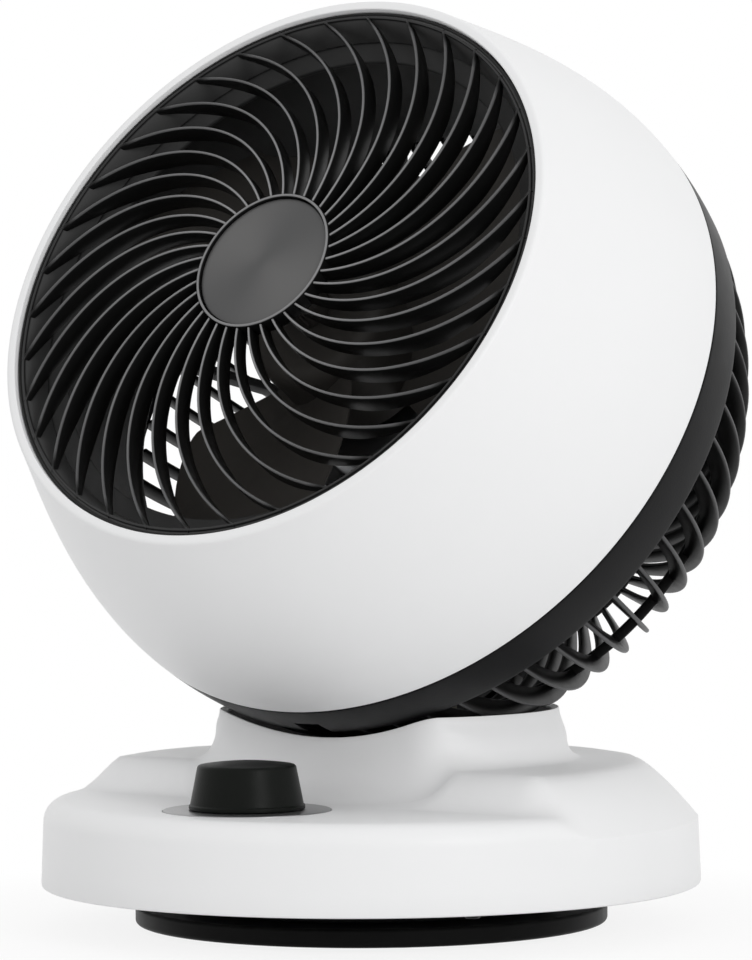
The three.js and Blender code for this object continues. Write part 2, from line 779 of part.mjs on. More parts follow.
function base() {
  const white = plastic(0xf2f2f2, 0.4);
  add(fan, 'base_cover', baseCover(), white);
  add(fan, 'base_pan', basePan(), plastic(0xe9e9e9, 0.5));
  add(fan, 'slide_ring', tube(slideInner, slideOuter, footHubTop + gap, baseBottom - gap, medium),
    plastic(0xf5f2e6, 0.4));
  add(fan, 'saddle_liner', saddleLiner(), plastic(0x101010, 0.6));
  panScrewAngles.forEach((angle, n) => {
    add(fan, `pan_screw_${n + 1}`, screw(panScrewLength), metal(0x9a9da2),
      onCircle(panScrewCircle, angle, baseBottom - gap));
  });
}

// ---- Head shells
function shellRadius(along) {
  const bend = along > 0 ? shellBend - shellBendFall * along : 1;
  return Math.sqrt(ballRadius ** 2 - bend * along ** 2);
}

function frontShell() {
  const stations = 6;
  const outer = [];
  const inner = [];
  for (let n = 0; n <= stations; n += 1) {
    const along = THREE.MathUtils.lerp(shellRear, shellFront, n / stations);
    outer.push([shellRadius(along), along]);
  }
  for (let n = 0; n <= 3; n += 1) {
    const along = THREE.MathUtils.lerp(lipBack, shellRear, n / 3);
    inner.push([shellRadius(along) - wall, along]);
  }
  const lipOuter = shellRadius(shellFront);
  const lip = [
    [lipOuter - lipRise, mouthFront],
    [mouthRadius + chamfer, mouthFront],
    [mouthRadius, mouthFront - chamfer],
    [mouthRadius, lipBack],
  ];
  const body = solid(revolve([...outer, ...lip, ...inner], fine));
  const inside = outer.slice(1).map(([radius, along]) => [radius - wall / 2, along]);
  const room = solid(revolve([[0, shellRear - overcut], ...inside, [0, shellFront]], fine));
  const bosses = shellScrewAngles.map((angle) => {
    const boss = disc(shellBossRadius, shellRear + gap, shellRear + shellBossLength, small / 2);
    return solid(boss.translate(...onCircle(shellScrewCircle, angle))).intersect(room);
  });
  const holes = shellScrewAngles.map((angle) => {
    const hole = disc(screwRadius + pilotGap, shellRear - 1, shellRear + shellScrewLength, tiny);
    return hole.translate(...onCircle(shellScrewCircle, angle));
  });
  return cut(bosses.reduce((whole, boss) => whole.add(boss), body), ...holes);
}

function swirlAngle(radius) {
  const out = radius - hubDiscRadius;
  return rad(swirlRate * out + swirlGrowth * out ** 2);
}

// One swirling rib of the front grille: a thin blade on edge with a narrow nose
function grilleRib() {
  const inner = hubDiscRadius - ribBury;
  const outer = mouthRadius - gap - grilleRingWidth + 2 * ribBury;
  const stations = 6;
  const rings = [];
  for (let n = 0; n <= stations; n += 1) {
    const share = n / stations;
    const radius = THREE.MathUtils.lerp(inner, outer, share);
    const angle = swirlAngle(radius);
    const slope = radius * (swirlAngle(radius + 0.5) - swirlAngle(radius - 0.5));
    const lean = angle + Math.atan(slope);
    const across = new THREE.Vector3(-Math.sin(lean), Math.cos(lean), 0).multiplyScalar(ribThickness / 2);
    const curve = share ** 2;
    const front = THREE.MathUtils.lerp(ribFrontHub, ribFrontRim, curve);
    const back = front - THREE.MathUtils.lerp(ribDepthHub, ribDepthRim, share);
    const at = (side, z) => new THREE.Vector3(
      radius * Math.cos(angle) + side * across.x,
      radius * Math.sin(angle) + side * across.y,
      z,
    );
    rings.push([at(-1, back), at(1, back), at(1 - ribNarrowing, front), at(ribNarrowing - 1, front)]);
  }
  return skin(rings);
}

function frontGrille() {
  const ringOuter = mouthRadius - gap;
  const ring = tube(ringOuter - grilleRingWidth, ringOuter, grilleRear, grilleFront, fine);
  const hub = revolve([
    [0, hubDiscFront - hubDiscThickness],
    [hubDiscRadius - chamfer, hubDiscFront - hubDiscThickness],
    [hubDiscRadius, hubDiscFront - hubDiscThickness + chamfer],
    [hubDiscRadius, hubDiscFront - hubRimEdge],
    [hubDiscRadius - hubRimEdge, hubDiscFront],
    [badgeRadius + gap, hubDiscFront],
    [badgeRadius + gap, hubPocket],
    [0, hubPocket],
  ], medium);
  const rib = solid(grilleRib());
  let grille = joined(ring, hub);
  for (let n = 0; n < ribCount; n += 1) {
    grille = grille.add(rib.rotate([0, 0, 360 * n / ribCount]));
  }
  return grille;
}

function carrierSpoke() {
  const root = seatRingOuter - spokeRootGap;
  const end = ductRadius + ductWall / 2;
  const half = spokeThickness / 2;
  const section = (radius, bottom) => [
    new THREE.Vector3(radius, -half, bottom),
    new THREE.Vector3(radius, half, bottom),
    new THREE.Vector3(radius, half, bottom + spokeDepth),
    new THREE.Vector3(radius, -half, bottom + spokeDepth),
  ];
  return skin([section(root, carrierRear + chamfer), section(end, ductRear + chamfer)]);
}

function airDuct() {
  const collarInner = mouthRadius + gap / 3;
  const collarOuter = collarInner + collarWall;
  const outer = ductRadius + ductWall;
  const front = grilleRear - gap;
  const throat = ductRadius - throatStep;
  const tunnel = revolve([
    [ductRadius, ductRear],
    [outer, ductRear],
    [outer, front - collarOverlap],
    [collarOuter, front - collarOverlap],
    [collarOuter, lipBack - gap],
    [collarInner, lipBack - gap],
    [collarInner, front],
    [ductRadius, front],
    [throat, front - throatSlope],
    [throat, front - throatSlope - throatThickness],
    [ductRadius, front - throatThickness - throatSlope],
  ], fine);
  const seatFront = carrierRear + seatRingDepth + 1;
  const seat = tube(seatRingInner, seatRingOuter, carrierRear + 1, seatFront, medium);
  const spokes = [];
  for (let n = 0; n < spokeCount; n += 1) {
    spokes.push(carrierSpoke().rotateZ(rad(spokePhase + 360 * n / spokeCount)));
  }
  const holes = motorScrewAngles.map((angle) => {
    const hole = disc(screwRadius + pilotGap, carrierRear, seatFront + 1, tiny);
    return hole.translate(...onCircle(motorScrewCircle, angle));
  });
  return cut(joined(tunnel, seat, ...spokes), ...holes);
}

// ---- Motor
function motor() {
  const cast = metal(0x8f9296, 0.5);
  const steel = metal(0xc4c7cb, 0.25);
  const seatFront = carrierRear + seatRingDepth + 1;
  const back = seatFront + gap;
  const front = back + motorFrontLength;
  const rear = back - gap - motorRearLength;
  const bearingPocket = bearingRadius + gap;
  const shell = motorRadius - motorWall;
  const frontCase = cut(solid(revolve([
    [shell, back],
    [motorFlangeRadius, back],
    [motorFlangeRadius, back + motorFlangeThickness],
    [motorRadius, back + motorFlangeThickness],
    [motorRadius, front - 2],
    [motorRadius - 3, front],
    [shaftRadius + runGap, front],
    [shaftRadius + runGap, front - motorWall],
    [bearingPocket, front - motorWall],
    [bearingPocket, front - motorWall - bearingWidth],
    [bearingPocket + 2, front - motorWall - bearingWidth],
    [bearingPocket + 2, front - motorWall],
    [shell, front - motorWall],
  ], small)), ...motorScrewAngles.map((angle) => {
    const hole = disc(screwRadius + pilotGap, back - 1, back + motorFlangeThickness + 1, tiny);
    return hole.translate(...onCircle(motorScrewCircle, angle));
  }));
  add(head, 'motor_front_case', frontCase, cast);
  add(head, 'motor_rear_case', revolve([
    [shell, back - gap],
    [shell, rear + motorWall],
    [bearingPocket + 2, rear + motorWall],
    [bearingPocket + 2, rear + motorWall + bearingWidth],
    [bearingPocket, rear + motorWall + bearingWidth],
    [bearingPocket, rear + motorWall],
    [0, rear + motorWall],
    [0, rear],
    [motorRadius - 3, rear],
    [motorRadius, rear + 2],
    [motorRadius, back - gap],
  ].reverse(), small), cast);
  const shaftEnd = bladeHubFront + nutHeight + 1;
  const shaftStart = rear + motorWall + gap;
  add(head, 'motor_shaft', disc(shaftRadius, shaftStart, shaftEnd), steel);
  const bearing = (bottom) => tube(shaftRadius + gap, bearingRadius, bottom, bottom + bearingWidth - 2 * gap);
  add(head, 'front_bearing', bearing(front - motorWall - bearingWidth + gap), steel);
  add(head, 'rear_bearing', bearing(rear + motorWall + gap), steel);
  const coreMiddle = (front + rear) / 2;
  const coreBottom = coreMiddle - statorLength / 2;
  const coreTop = coreMiddle + statorLength / 2;
  add(head, 'stator_core', tube(statorBore, statorRadius, coreBottom, coreTop, medium), metal(0x6b6e73, 0.6));
  const winding = (bottom) => {
    return tube(statorBore + 2, statorBore + 2 + windingWidth, bottom, bottom + windingLength, small);
  };
  const copper = metal(0xb4673a, 0.4);
  add(head, 'front_winding', winding(coreTop + gap), copper);
  add(head, 'rear_winding', winding(coreBottom - gap - windingLength), copper);
  const rotor = tube(shaftRadius + gap, rotorRadius, coreBottom, coreTop, small);
  add(head, 'rotor_core', rotor, metal(0x77797d, 0.5));
  motorScrewAngles.forEach((angle, n) => {
    const form = screw(motorScrewLength).rotateX(Math.PI);
    add(head, `motor_screw_${n + 1}`, form, metal(0x9a9da2),
      onCircle(motorScrewCircle, angle, back + motorFlangeThickness + gap));
  });
}

// ---- Fan wheel: wide twisted blades on a cup-shaped hub
function blade() {
  const stations = 8;
  const across = 7;
  const rings = [];
  for (let n = 0; n <= stations; n += 1) {
    const share = n / stations;
    const radius = THREE.MathUtils.lerp(bladeHubRadius - 2, bladeTipRadius, share);
    const spread = bladeSpread - bladeTaper * share;
    const corner = smoothStep((share - bladeCornerFrom) / (1 - bladeCornerFrom));
    const start = bladeCornerCut * corner / spread;
    const rise = (bladeFront - bladeRear) * THREE.MathUtils.lerp(0.62, 1, Math.sin(Math.PI * 0.5 * share));
    const middle = (bladeHubFront + bladeHubRear) / 2 + 4 * share;
    const face = [];
    const back = [];
    for (let m = 0; m <= across; m += 1) {
      const t = THREE.MathUtils.lerp(start, 1, m / across);
      const angle = rad(spread * t);
      const bow = 0.5 - 0.5 * Math.cos(Math.PI * t);
      const z = middle + rise * (0.5 * (t + bow) - 0.5) * 0.92;
      const half = (bladeThickness / 2) * (0.55 + 0.45 * Math.sin(Math.PI * m / across));
      face.push(new THREE.Vector3(radius * Math.cos(angle), radius * Math.sin(angle), z + half));
      back.push(new THREE.Vector3(radius * Math.cos(angle), radius * Math.sin(angle), z - half));
    }
    rings.push([...face, ...back.reverse()]);
  }
  return skin(rings);
}

function fanWheel() {
  const bore = shaftRadius + gap;
  const inside = bladeHubRadius - bladeHubWall;
  const hub = revolve([
    [bore, bladeHubRear + 6],
    [bore + 5, bladeHubRear + 6],
    [bore + 5, bladeHubFront - 4],
    [inside, bladeHubFront - 6],
    [inside, bladeHubRear],
    [bladeHubRadius, bladeHubRear],
    [bladeHubRadius, bladeHubFront - 6],
    [bladeHubRadius - 6, bladeHubFront],
    [bore, bladeHubFront],
  ], small + 6);
  const cavity = solid(tube(bore + 5, inside, bladeHubRear - 1, bladeHubFront - 6));
  const one = solid(blade()).subtract(cavity);
  let wheel = solid(hub);
  for (let n = 0; n < bladeCount; n += 1) {
    wheel = wheel.add(one.rotate([0, 0, bladePhase + 360 * n / bladeCount]));
  }
  add(head, 'fan_wheel', wheel, plastic(0x232323, 0.3));
  const nutBottom = bladeHubFront + gap;
  const nut = cut(
    solid(revolve([
      [0, nutBottom],
      [nutRadius, nutBottom],
      [nutRadius, nutBottom + nutHeight - 2],
      [nutRadius - 2.5, nutBottom + nutHeight + 1.5],
      [0, nutBottom + nutHeight + 3],
    ], small)),
    disc(shaftRadius + gap, nutBottom - 1, nutBottom + nutHeight + 1),
  );
  add(head, 'wheel_nut', nut, plastic(0x1a1a1a, 0.4));
}

// ---- Rear guard: a solid band, meridian fins, a hoop and the beam that carries the tilt track
// A strip bent round the tilt axis, between two angles off the rear pole
function meridianStrip(halfWidth, inner, outer, from, to) {
  const steps = Math.ceil(Math.abs(to - from) / 6);
  const arc = (radius, backwards) => Array.from({ length: steps + 1 }, (_, n) => {
    const share = backwards ? 1 - n / steps : n / steps;
    const [down, z] = onBall(radius, THREE.MathUtils.lerp(from, to, share));
    return new THREE.Vector2(z, -down);
  });
  const outline = new THREE.Shape([...arc(outer, false), ...arc(inner, true)]);
  const strip = new THREE.ExtrudeGeometry(outline, { depth: 2 * halfWidth, bevelEnabled: false });
  // The outline's x becomes the fan axis and its y stays the head's up
  strip.rotateY(-Math.PI / 2);
  return strip.translate(halfWidth, 0, 0);
}

// One fin, its ends buried in the band and in the hub ring
function guardFin() {
  const half = finThickness / 2;
  const buried = 1;
  const from = offPole(bandRear);
  const to = offPoleOfRadius(guardHubRadius);
  const ringAt = (angle, inner, outer) => {
    return [[inner, -1], [inner, 1], [outer, 1], [outer, -1]].map(([radius, side]) => {
      const [x, z] = onBall(radius, angle);
      return new THREE.Vector3(x, side * half, z);
    });
  };
  const inner = ballRadius - finDepth;
  const outer = ballRadius - finInset;
  const rings = [ringAt(from + buried, ballRadius - wall + finInset, outer)];
  for (let n = 0; n <= finBends; n += 1) {
    rings.push(ringAt(THREE.MathUtils.lerp(from - buried, to, n / finBends), inner, outer));
  }
  rings.push(ringAt(to - buried, inner, outer));
  return skin(rings);
}

function offPole(along) {
  return THREE.MathUtils.radToDeg(Math.acos(-along / ballRadius));
}

function offPoleOfRadius(radius) {
  return THREE.MathUtils.radToDeg(Math.asin(radius / ballRadius));
}

function rearGuard() {
  const bandFront = shellRear - gap;
  const from = offPole(bandFront);
  const to = offPole(bandRear);
  const arc = (radius, start, end, steps) => Array.from({ length: steps + 1 }, (_, n) => {
    return onBall(radius, THREE.MathUtils.lerp(start, end, n / steps));
  });
  // Every ring of the guard has one facet to each fin, square to it
  const ring = (outline) => revolve(outline, finCount).rotateZ(rad(finPhase + 180 / finCount));
  const band = ring([...arc(ballRadius, from, to, 1), ...arc(ballRadius - wall, to, from, 1)]);
  const hubEdge = offPoleOfRadius(guardHubRadius);
  const hubInner = offPoleOfRadius(guardHubRadius - guardHubWidth);
  const under = ballRadius - finDepth - 0.5;
  const seat = ballRadius - capThickness - 2 * gap;
  const hub = ring([
    onBall(seat, hubEdge),
    onBall(seat, hubInner),
    onBall(under, hubInner),
    onBall(under, hubEdge),
  ]);
  const beamEnds = [slotStart + slotMargin + 2, slotEnd - slotMargin - 3];
  const beam = meridianStrip(beamHalfWidth, beamUnder, beamRadius, ...beamEnds);
  const lugs = shellScrewAngles.map((angle) => {
    const reach = ballRadius - wall / 2 - shellScrewCircle;
    const lug = new THREE.BoxGeometry(reach + shellBossRadius, 2 * shellBossRadius, lugThickness);
    lug.translate(shellScrewCircle + (reach - shellBossRadius) / 2, 0, bandFront - gap - lugThickness / 2);
    return lug.rotateZ(rad(angle));
  });
  const fin = solid(guardFin());
  let guard = joined(band, hub, beam, ...lugs);
  for (let n = 0; n < finCount; n += 1) {
    guard = guard.add(fin.rotate([0, 0, finPhase + 360 * n / finCount]));
  }
  const holes = shellScrewAngles.map((angle) => {
    const hole = disc(screwRadius + pilotGap, bandFront - lugThickness - 2, bandFront + 1, tiny);
    return hole.translate(...onCircle(shellScrewCircle, angle));
  });
  const channelEnds = [slotStart + slotMargin + 6, slotEnd - slotMargin - 2.5];
  const channel = meridianStrip(trackHalfWidth + gap, beamUnder - stripCut, beamUnder, ...channelEnds);
  const slotEnds = [slotStart + slotMargin, slotEnd - slotMargin];
  const slot = meridianStrip(slotHalfWidth, beamUnder - stripCut, beamRadius + stripCut, ...slotEnds);
  return cut(guard, ...holes, channel, slot);
}

function rearCap() {
  const edge = offPoleOfRadius(capRadius);
  const steps = 4;
  const layer = (radius) => Array.from({ length: steps + 1 }, (_, n) => onBall(radius, edge * n / steps));
  const inner = layer(ballRadius - capThickness - gap);
  const body = solid(revolve([...layer(ballRadius - gap), ...inner.reverse()], medium));
  const notchEnds = [edge + 20, slotEnd - slotMargin - 3.3];
  const notch = meridianStrip(beamHalfWidth + gap, beamUnder - stripCut, beamRadius + stripCut, ...notchEnds);
  return cut(body, notch);
}

function tiltTrack() {
  const outer = beamUnder - gap;
  const from = slotStart + slotMargin;
  const to = slotEnd - slotMargin;
  const strip = meridianStrip(trackHalfWidth, outer - trackThickness, outer, from + 2, to - 2);
  return cut(solid(strip), meridianStrip(slotHalfWidth, outer - stripCut, outer + stripCut, from, to));
}

// ---- Clamp: an arm from the neck through the slot holds the ball at any tilt by friction.
// In its own group +Z runs from the ball's centre down through the saddle.
function tiltClamp() {
  const steel = metal(0xb4b7bb);
  const trackInner = beamUnder - gap - trackThickness;
  const shoeTop = trackInner - gap;
  const shoeSpan = THREE.MathUtils.radToDeg(shoeHalfWidth / shoeTop);
  const shoe = meridianStrip(shoeHalfWidth, shoeTop - shoeThickness, shoeTop, -shoeSpan, shoeSpan);
  shoe.rotateX(Math.PI);
  const headTop = shoeTop - shoeThickness - gap;
  const linerUnder = saddleRadius + gap + linerThickness;
  const springTop = linerUnder + gap + discSpringHeight;
  const shoeBore = disc(boltRadius + gap, headTop, trackInner, small);
  add(clamp, 'clamp_shoe', cut(solid(shoe), shoeBore), plastic(0xe6e2d4, 0.5));
  add(clamp, 'clamp_bolt', revolve([
    [0, headTop - boltHeadHeight],
    [boltHeadRadius, headTop - boltHeadHeight],
    [boltHeadRadius, headTop],
    [boltRadius, headTop],
    [boltRadius, linerUnder + boltTail],
    [0, linerUnder + boltTail],
  ], small), steel);
  add(clamp, 'disc_spring', revolve([
    [boltRadius + gap, springTop - discSpringThickness],
    [discSpringRadius, linerUnder + gap],
    [discSpringRadius, linerUnder + gap + discSpringThickness],
    [boltRadius + gap, springTop],
  ], small), steel);
  const nut = cut(
    solid(disc(clampNutRadius, springTop + gap, springTop + gap + clampNutHeight, 6)),
    disc(boltRadius + gap, springTop, springTop + clampNutHeight + 2, small),
  );
  add(clamp, 'clamp_nut', nut, steel);
}

function headShells() {
  add(head, 'front_shell', frontShell(), plastic(0xf2f2f2, 0.4));
  add(head, 'front_grille', frontGrille(), plastic(0x171717, 0.4));
  const badgeBottom = hubPocket + gap;
  const badgeTop = hubDiscFront - badgeSink;
  add(head, 'badge_disc', revolve([
    [0, badgeBottom],
    [badgeRadius, badgeBottom],
    [badgeRadius, badgeTop],
    [badgeRadius * 0.6, badgeTop + badgeDome * 0.7],
    [0, badgeTop + badgeDome],
  ], medium), plastic(0x4a4a4a, 0.4));
  add(head, 'air_duct', airDuct(), plastic(0x1c1c1d, 0.5));
  add(head, 'rear_guard', rearGuard(), plastic(0x191919, 0.45));
  add(head, 'rear_cap', rearCap(), plastic(0x1e1e1e, 0.4));
  add(head, 'tilt_track', tiltTrack(), plastic(0x2a2a2c, 0.5));
  shellScrewAngles.forEach((angle, n) => {
    add(head, `shell_screw_${n + 1}`, screw(shellScrewLength), metal(0x9a9da2),
      onCircle(shellScrewCircle, angle, shellRear - 2 * gap - lugThickness - gap));
  });
}

foot();
swingDrive();
base();
controls();
electrics();
headShells();
motor();
fanWheel();
tiltClamp();

export default fan;
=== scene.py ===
import json
import math

import bmesh
import bpy
from mathutils import Matrix, Vector


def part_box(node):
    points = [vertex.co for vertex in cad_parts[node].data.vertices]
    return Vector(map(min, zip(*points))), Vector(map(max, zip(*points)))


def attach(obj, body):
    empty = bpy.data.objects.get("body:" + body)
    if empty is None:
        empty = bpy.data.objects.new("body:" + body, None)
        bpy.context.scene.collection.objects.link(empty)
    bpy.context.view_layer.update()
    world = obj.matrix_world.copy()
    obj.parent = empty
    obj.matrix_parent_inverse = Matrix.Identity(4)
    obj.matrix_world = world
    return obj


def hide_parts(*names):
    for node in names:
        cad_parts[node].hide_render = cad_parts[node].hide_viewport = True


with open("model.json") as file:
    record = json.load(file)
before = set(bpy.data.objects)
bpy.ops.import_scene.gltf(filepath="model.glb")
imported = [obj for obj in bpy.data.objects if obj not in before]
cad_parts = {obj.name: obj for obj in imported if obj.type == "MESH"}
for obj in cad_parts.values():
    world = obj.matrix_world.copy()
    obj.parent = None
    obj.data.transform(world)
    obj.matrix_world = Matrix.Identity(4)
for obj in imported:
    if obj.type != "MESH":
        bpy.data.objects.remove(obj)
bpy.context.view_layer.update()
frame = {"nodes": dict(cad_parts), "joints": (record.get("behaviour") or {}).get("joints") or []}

# The base is built in millimetres from the row frame, the head along its own fan axis
joints = {joint["name"]: joint for joint in frame["joints"]}
ballCentre = Vector(joints["head_tilt"]["pos_m"])
fanAxis = Vector(joints["fan_spin"]["axis"]).normalized()
sideways = Vector((1, 0, 0))
headUp = fanAxis.cross(sideways)
inMillimetres = Matrix.Scale(0.001, 4)
headTurn = Matrix((sideways, headUp, fanAxis)).transposed().to_4x4()
headPlace = Matrix.Translation(ballCentre) @ headTurn @ inMillimetres
basePlace = inMillimetres
clampLean = math.radians(9)
clampPlace = Matrix.Translation(ballCentre) @ Matrix.Rotation(math.pi + clampLean, 4, "X") @ inMillimetres
centreY = ballCentre.y * 1000
centreZ = ballCentre.z * 1000

cameraSettings = {
    "place": (2.753, -1548.816, 181.881),  # mm, before the turn about the upright axis
    "yaw": 0.6247,
    "pitch": -0.0126,
    "roll": -0.0071,
    "lens": 158.99,
}


def makeCamera(settings):
    turn = Matrix.Rotation(settings["yaw"], 4, "Z")
    tip = Matrix.Rotation(math.pi / 2 + settings["pitch"], 4, "X")
    camera = bpy.data.objects.new("photoCamera", bpy.data.cameras.new("photoCamera"))
    bpy.context.scene.collection.objects.link(camera)
    camera.data.lens = settings["lens"]
    camera.data.sensor_width = 36
    camera.data.clip_start = 0.05
    camera.data.clip_end = 50
    spot = Matrix.Translation(Vector(settings["place"]) * 0.001)
    camera.matrix_world = turn @ spot @ tip @ Matrix.Rotation(settings["roll"], 4, "Z")
    bpy.context.scene.camera = camera


makeCamera(cameraSettings)
print("camera made")


# A value is a socket that Python's operators can be used on
def operator(operation, swapped=False):
    def combine(self, other):
        return self.sheet.calculate(operation, *((other, self) if swapped else (self, other)))

    return combine


class Value:
    def __init__(self, sheet, socket):
        self.sheet = sheet
        self.socket = socket

    __add__ = __radd__ = operator("ADD")
    __sub__ = operator("SUBTRACT")
    __rsub__ = operator("SUBTRACT", swapped=True)
    __mul__ = __rmul__ = operator("MULTIPLY")
    __truediv__ = operator("DIVIDE")
    __pow__ = operator("POWER")
    __mod__ = operator("MODULO")


class Sheet:
    def __init__(self, tree):
        self.tree = tree

    def feed(self, socket, value):
        if isinstance(value, Value):
            self.tree.links.new(value.socket, socket)
        elif isinstance(value, bpy.types.NodeSocket):
            self.tree.links.new(value, socket)
        else:
            socket.default_value = value

    def node(self, kind, settings=None, sockets=None, output=0):
        made = self.tree.nodes.new(kind)
        for key, value in (settings or {}).items():
            setattr(made, key, value)
        for key, value in (sockets or {}).items():
            self.feed(made.inputs[key], value)
        return Value(self, made.outputs[output])

    def calculate(self, operation, *values):
        return self.node("ShaderNodeMath", {"operation": operation}, dict(enumerate(values)))

    def vectorMath(self, operation, *values, output="Value"):
        return self.node("ShaderNodeVectorMath", {"operation": operation}, dict(enumerate(values)), output)

    def split(self, vector):
        made = self.node("ShaderNodeSeparateXYZ", sockets={0: vector})
        return [Value(self, out) for out in made.socket.node.outputs]

    def vector(self, x, y, z):
        return self.node("ShaderNodeCombineXYZ", sockets={0: x, 1: y, 2: z})

    # 1 for the rays that only look: from the camera, off a gloss or through a clear piece
    def looking(self):
        outputs = self.node("ShaderNodeLightPath").socket.node.outputs
        ways = ("Camera", "Glossy", "Transmission")
        camera, glossy, clear = [Value(self, outputs[f"Is {way} Ray"]) for way in ways]
        return self.calculate("MINIMUM", camera + glossy + clear, 1.0)


class Finish(Sheet):
    def __init__(self, name, colour, roughness, metallic=0.0, specular=0.5):
        self.material = bpy.data.materials.new(name)
        self.material.use_nodes = True
        super().__init__(self.material.node_tree)
        self.shader = self.tree.nodes["Principled BSDF"]
        self.place = self.node("ShaderNodeTexCoord", output="Object")
        self.set("Base Color", (*colour, 1))
        self.set("Roughness", roughness)
        self.set("Metallic", metallic)
        self.set("Specular IOR Level", specular)

    def set(self, name, value):
        self.feed(self.shader.inputs[name], value)

    def noise(self, scale, detail=2.0, vector=None):
        sockets = {"Vector": vector or self.place, "Scale": scale, "Detail": detail}
        return self.node("ShaderNodeTexNoise", sockets=sockets)

    def mix(self, factor, first, second):
        first, second = [part if isinstance(part, Value) else (*part, 1) for part in (first, second)]
        return self.node("ShaderNodeMix", {"data_type": "RGBA"}, {0: factor, 6: first, 7: second}, output=2)

    def colour(self, factor, first, second):
        self.set("Base Color", self.mix(factor, first, second))

    def rough(self, base, swing, scale):
        self.set("Roughness", base + swing * (self.noise(scale) - 0.5))

    def bump(self, height, distance):
        sockets = {"Height": height, "Distance": distance, "Strength": 1.0}
        self.set("Normal", self.node("ShaderNodeBump", sockets=sockets))

    def grain(self, grain):
        self.bump(self.noise(grain["scale"]), grain["depth"])

    def step(self, value, start, end):
        share = (value - start) / (end - start)
        return self.calculate("MINIMUM", self.calculate("MAXIMUM", share, 0.0), 1.0)

    def fromBall(self):
        return self.vectorMath("SUBTRACT", self.place, ballCentre, output="Vector")

    # millimetres along the fan's axis, away from it, and from the ball's middle
    def headReach(self):
        offset = self.fromBall()
        along = self.vectorMath("DOT_PRODUCT", offset, fanAxis) * 1000.0
        ball = self.vectorMath("LENGTH", offset) * 1000.0
        away = self.calculate("MAXIMUM", ball ** 2.0 - along ** 2.0, 0.0) ** 0.5
        return along, away, ball


def grey(level):
    return level, level, level


# A moulded plastic: a little cloudy in colour and gloss, with the fine grain of the mould
def moulded(name, dark, light, roughness, grain, specular=0.5):
    finish = Finish(name, light, roughness, specular=specular)
    finish.colour(finish.noise(22, 3.0), dark, light)
    finish.rough(roughness, 0.1, 160)
    finish.grain(grain)
    return finish.material


fineGrain = {"scale": 2600, "depth": 0.00002}
softGrain = {"scale": 1500, "depth": 0.00004}


# The grille's black, with painted highlights in its colour along the ribs' noses, the hub's rim and the
# edges of its rings
def grilleFinish(name, settings, funnelColour):
    finish = Finish(name, settings["dark"], settings["roughness"], specular=settings["specular"])
    along, away, _ = finish.headReach()
    share = (away - settings["ribStart"]) / settings["ribReach"]
    front = settings["noseHub"] - settings["noseFall"] * share * finish.calculate("ABSOLUTE", share)
    # painted highlight: the ribs' noses, the hub's rim and the ring's front edges are made lighter in
    # colour, fading along the ribs and clouded at random
    nose = finish.step(along - front, -settings["noseDepth"], -settings["noseDepth"] * 0.35)
    onRibs = finish.step(away, *settings["ribsFrom"]) * (1.0 - finish.step(away, *settings["ribsTo"]))
    rim = finish.step(along, *settings["hubFront"]) * (1.0 - finish.step(away, *settings["hubEdge"]))
    edges = finish.step(along, *settings["ringFront"]) * finish.step(away, *settings["ringEdge"])
    paintedHighlight = nose * onRibs * (1.0 - share * settings["noseFade"]) + rim * 0.8 + edges * 0.06
    cloud = 0.75 + 0.5 * finish.noise(14)
    # painted light: for the ring, the funnel behind the grille gets a lighter grey that stands in for the
    # light it catches
    beforeFunnel = finish.step(along, *settings["funnelFront"])
    funnel = finish.step(away, *settings["funnelEdge"]) * (1.0 - beforeFunnel)
    body = finish.mix(funnel, settings["dark"], funnelColour)
    finish.colour(finish.step(paintedHighlight * cloud, 0.0, 1.25), body, settings["nose"])
    finish.rough(settings["roughness"], 0.1, 160)
    finish.grain(fineGrain)
    return finish.material


# The guard's black, with a painted highlight in its colour along the fins' outer edges
def guardFinish(settings):
    finish = Finish("guardBlack", settings["dark"], settings["roughness"], specular=settings["specular"])
    along, _, ball = finish.headReach()
    onFins = 1.0 - finish.step(along, *settings["bandEdge"])
    # painted highlight along the fins' outer edges
    paintedHighlight = finish.step(ball, *settings["finEdge"]) * onFins
    body = finish.mix(onFins, settings["band"], settings["dark"])
    finish.colour(paintedHighlight, body, settings["nose"])
    finish.rough(settings["roughness"], 0.1, 120)
    finish.grain(softGrain)
    return finish.material


# pairs of millimetres say where a mask starts and where it is full
grilleLook = {
    "ribStart": 27.4,
    "ribReach": 77.4,
    "noseHub": 86.4,
    "noseFall": 4.6,
    "ribsFrom": (27.6, 27.9),
    "ribsTo": (100.5, 103.5),
    "hubFront": (86.5, 86.9),
    "hubEdge": (27.3, 27.5),
    "ringFront": (81.75, 81.95),
    "ringEdge": (104.6, 104.9),
    "funnelEdge": (99.5, 100.5),
    "funnelFront": (80.9, 81.5),
    "dark": grey(0.006),
    # the colour of the painted highlights on the noses, the hub's rim and the ring's edges
    "nose": (0.34, 0.34, 0.345),
    # a lighter grey painted on the ring's funnel for the light it catches
    "funnel": grey(0.075),
    "roughness": 0.36,
    "specular": 0.22,
    "noseDepth": 0.55,
    "noseFade": 0.72,
}
guardLook = {
    "bandEdge": (-25.6, -25.2),
    "finEdge": (132.15, 132.5),
    "dark": grey(0.004),
    "band": (0.0035, 0.0035, 0.004),
    # the colour of the painted highlight on the fins' outer edges
    "nose": (0.060, 0.060, 0.062),
    "roughness": 0.4,
    "specular": 0.12,
}
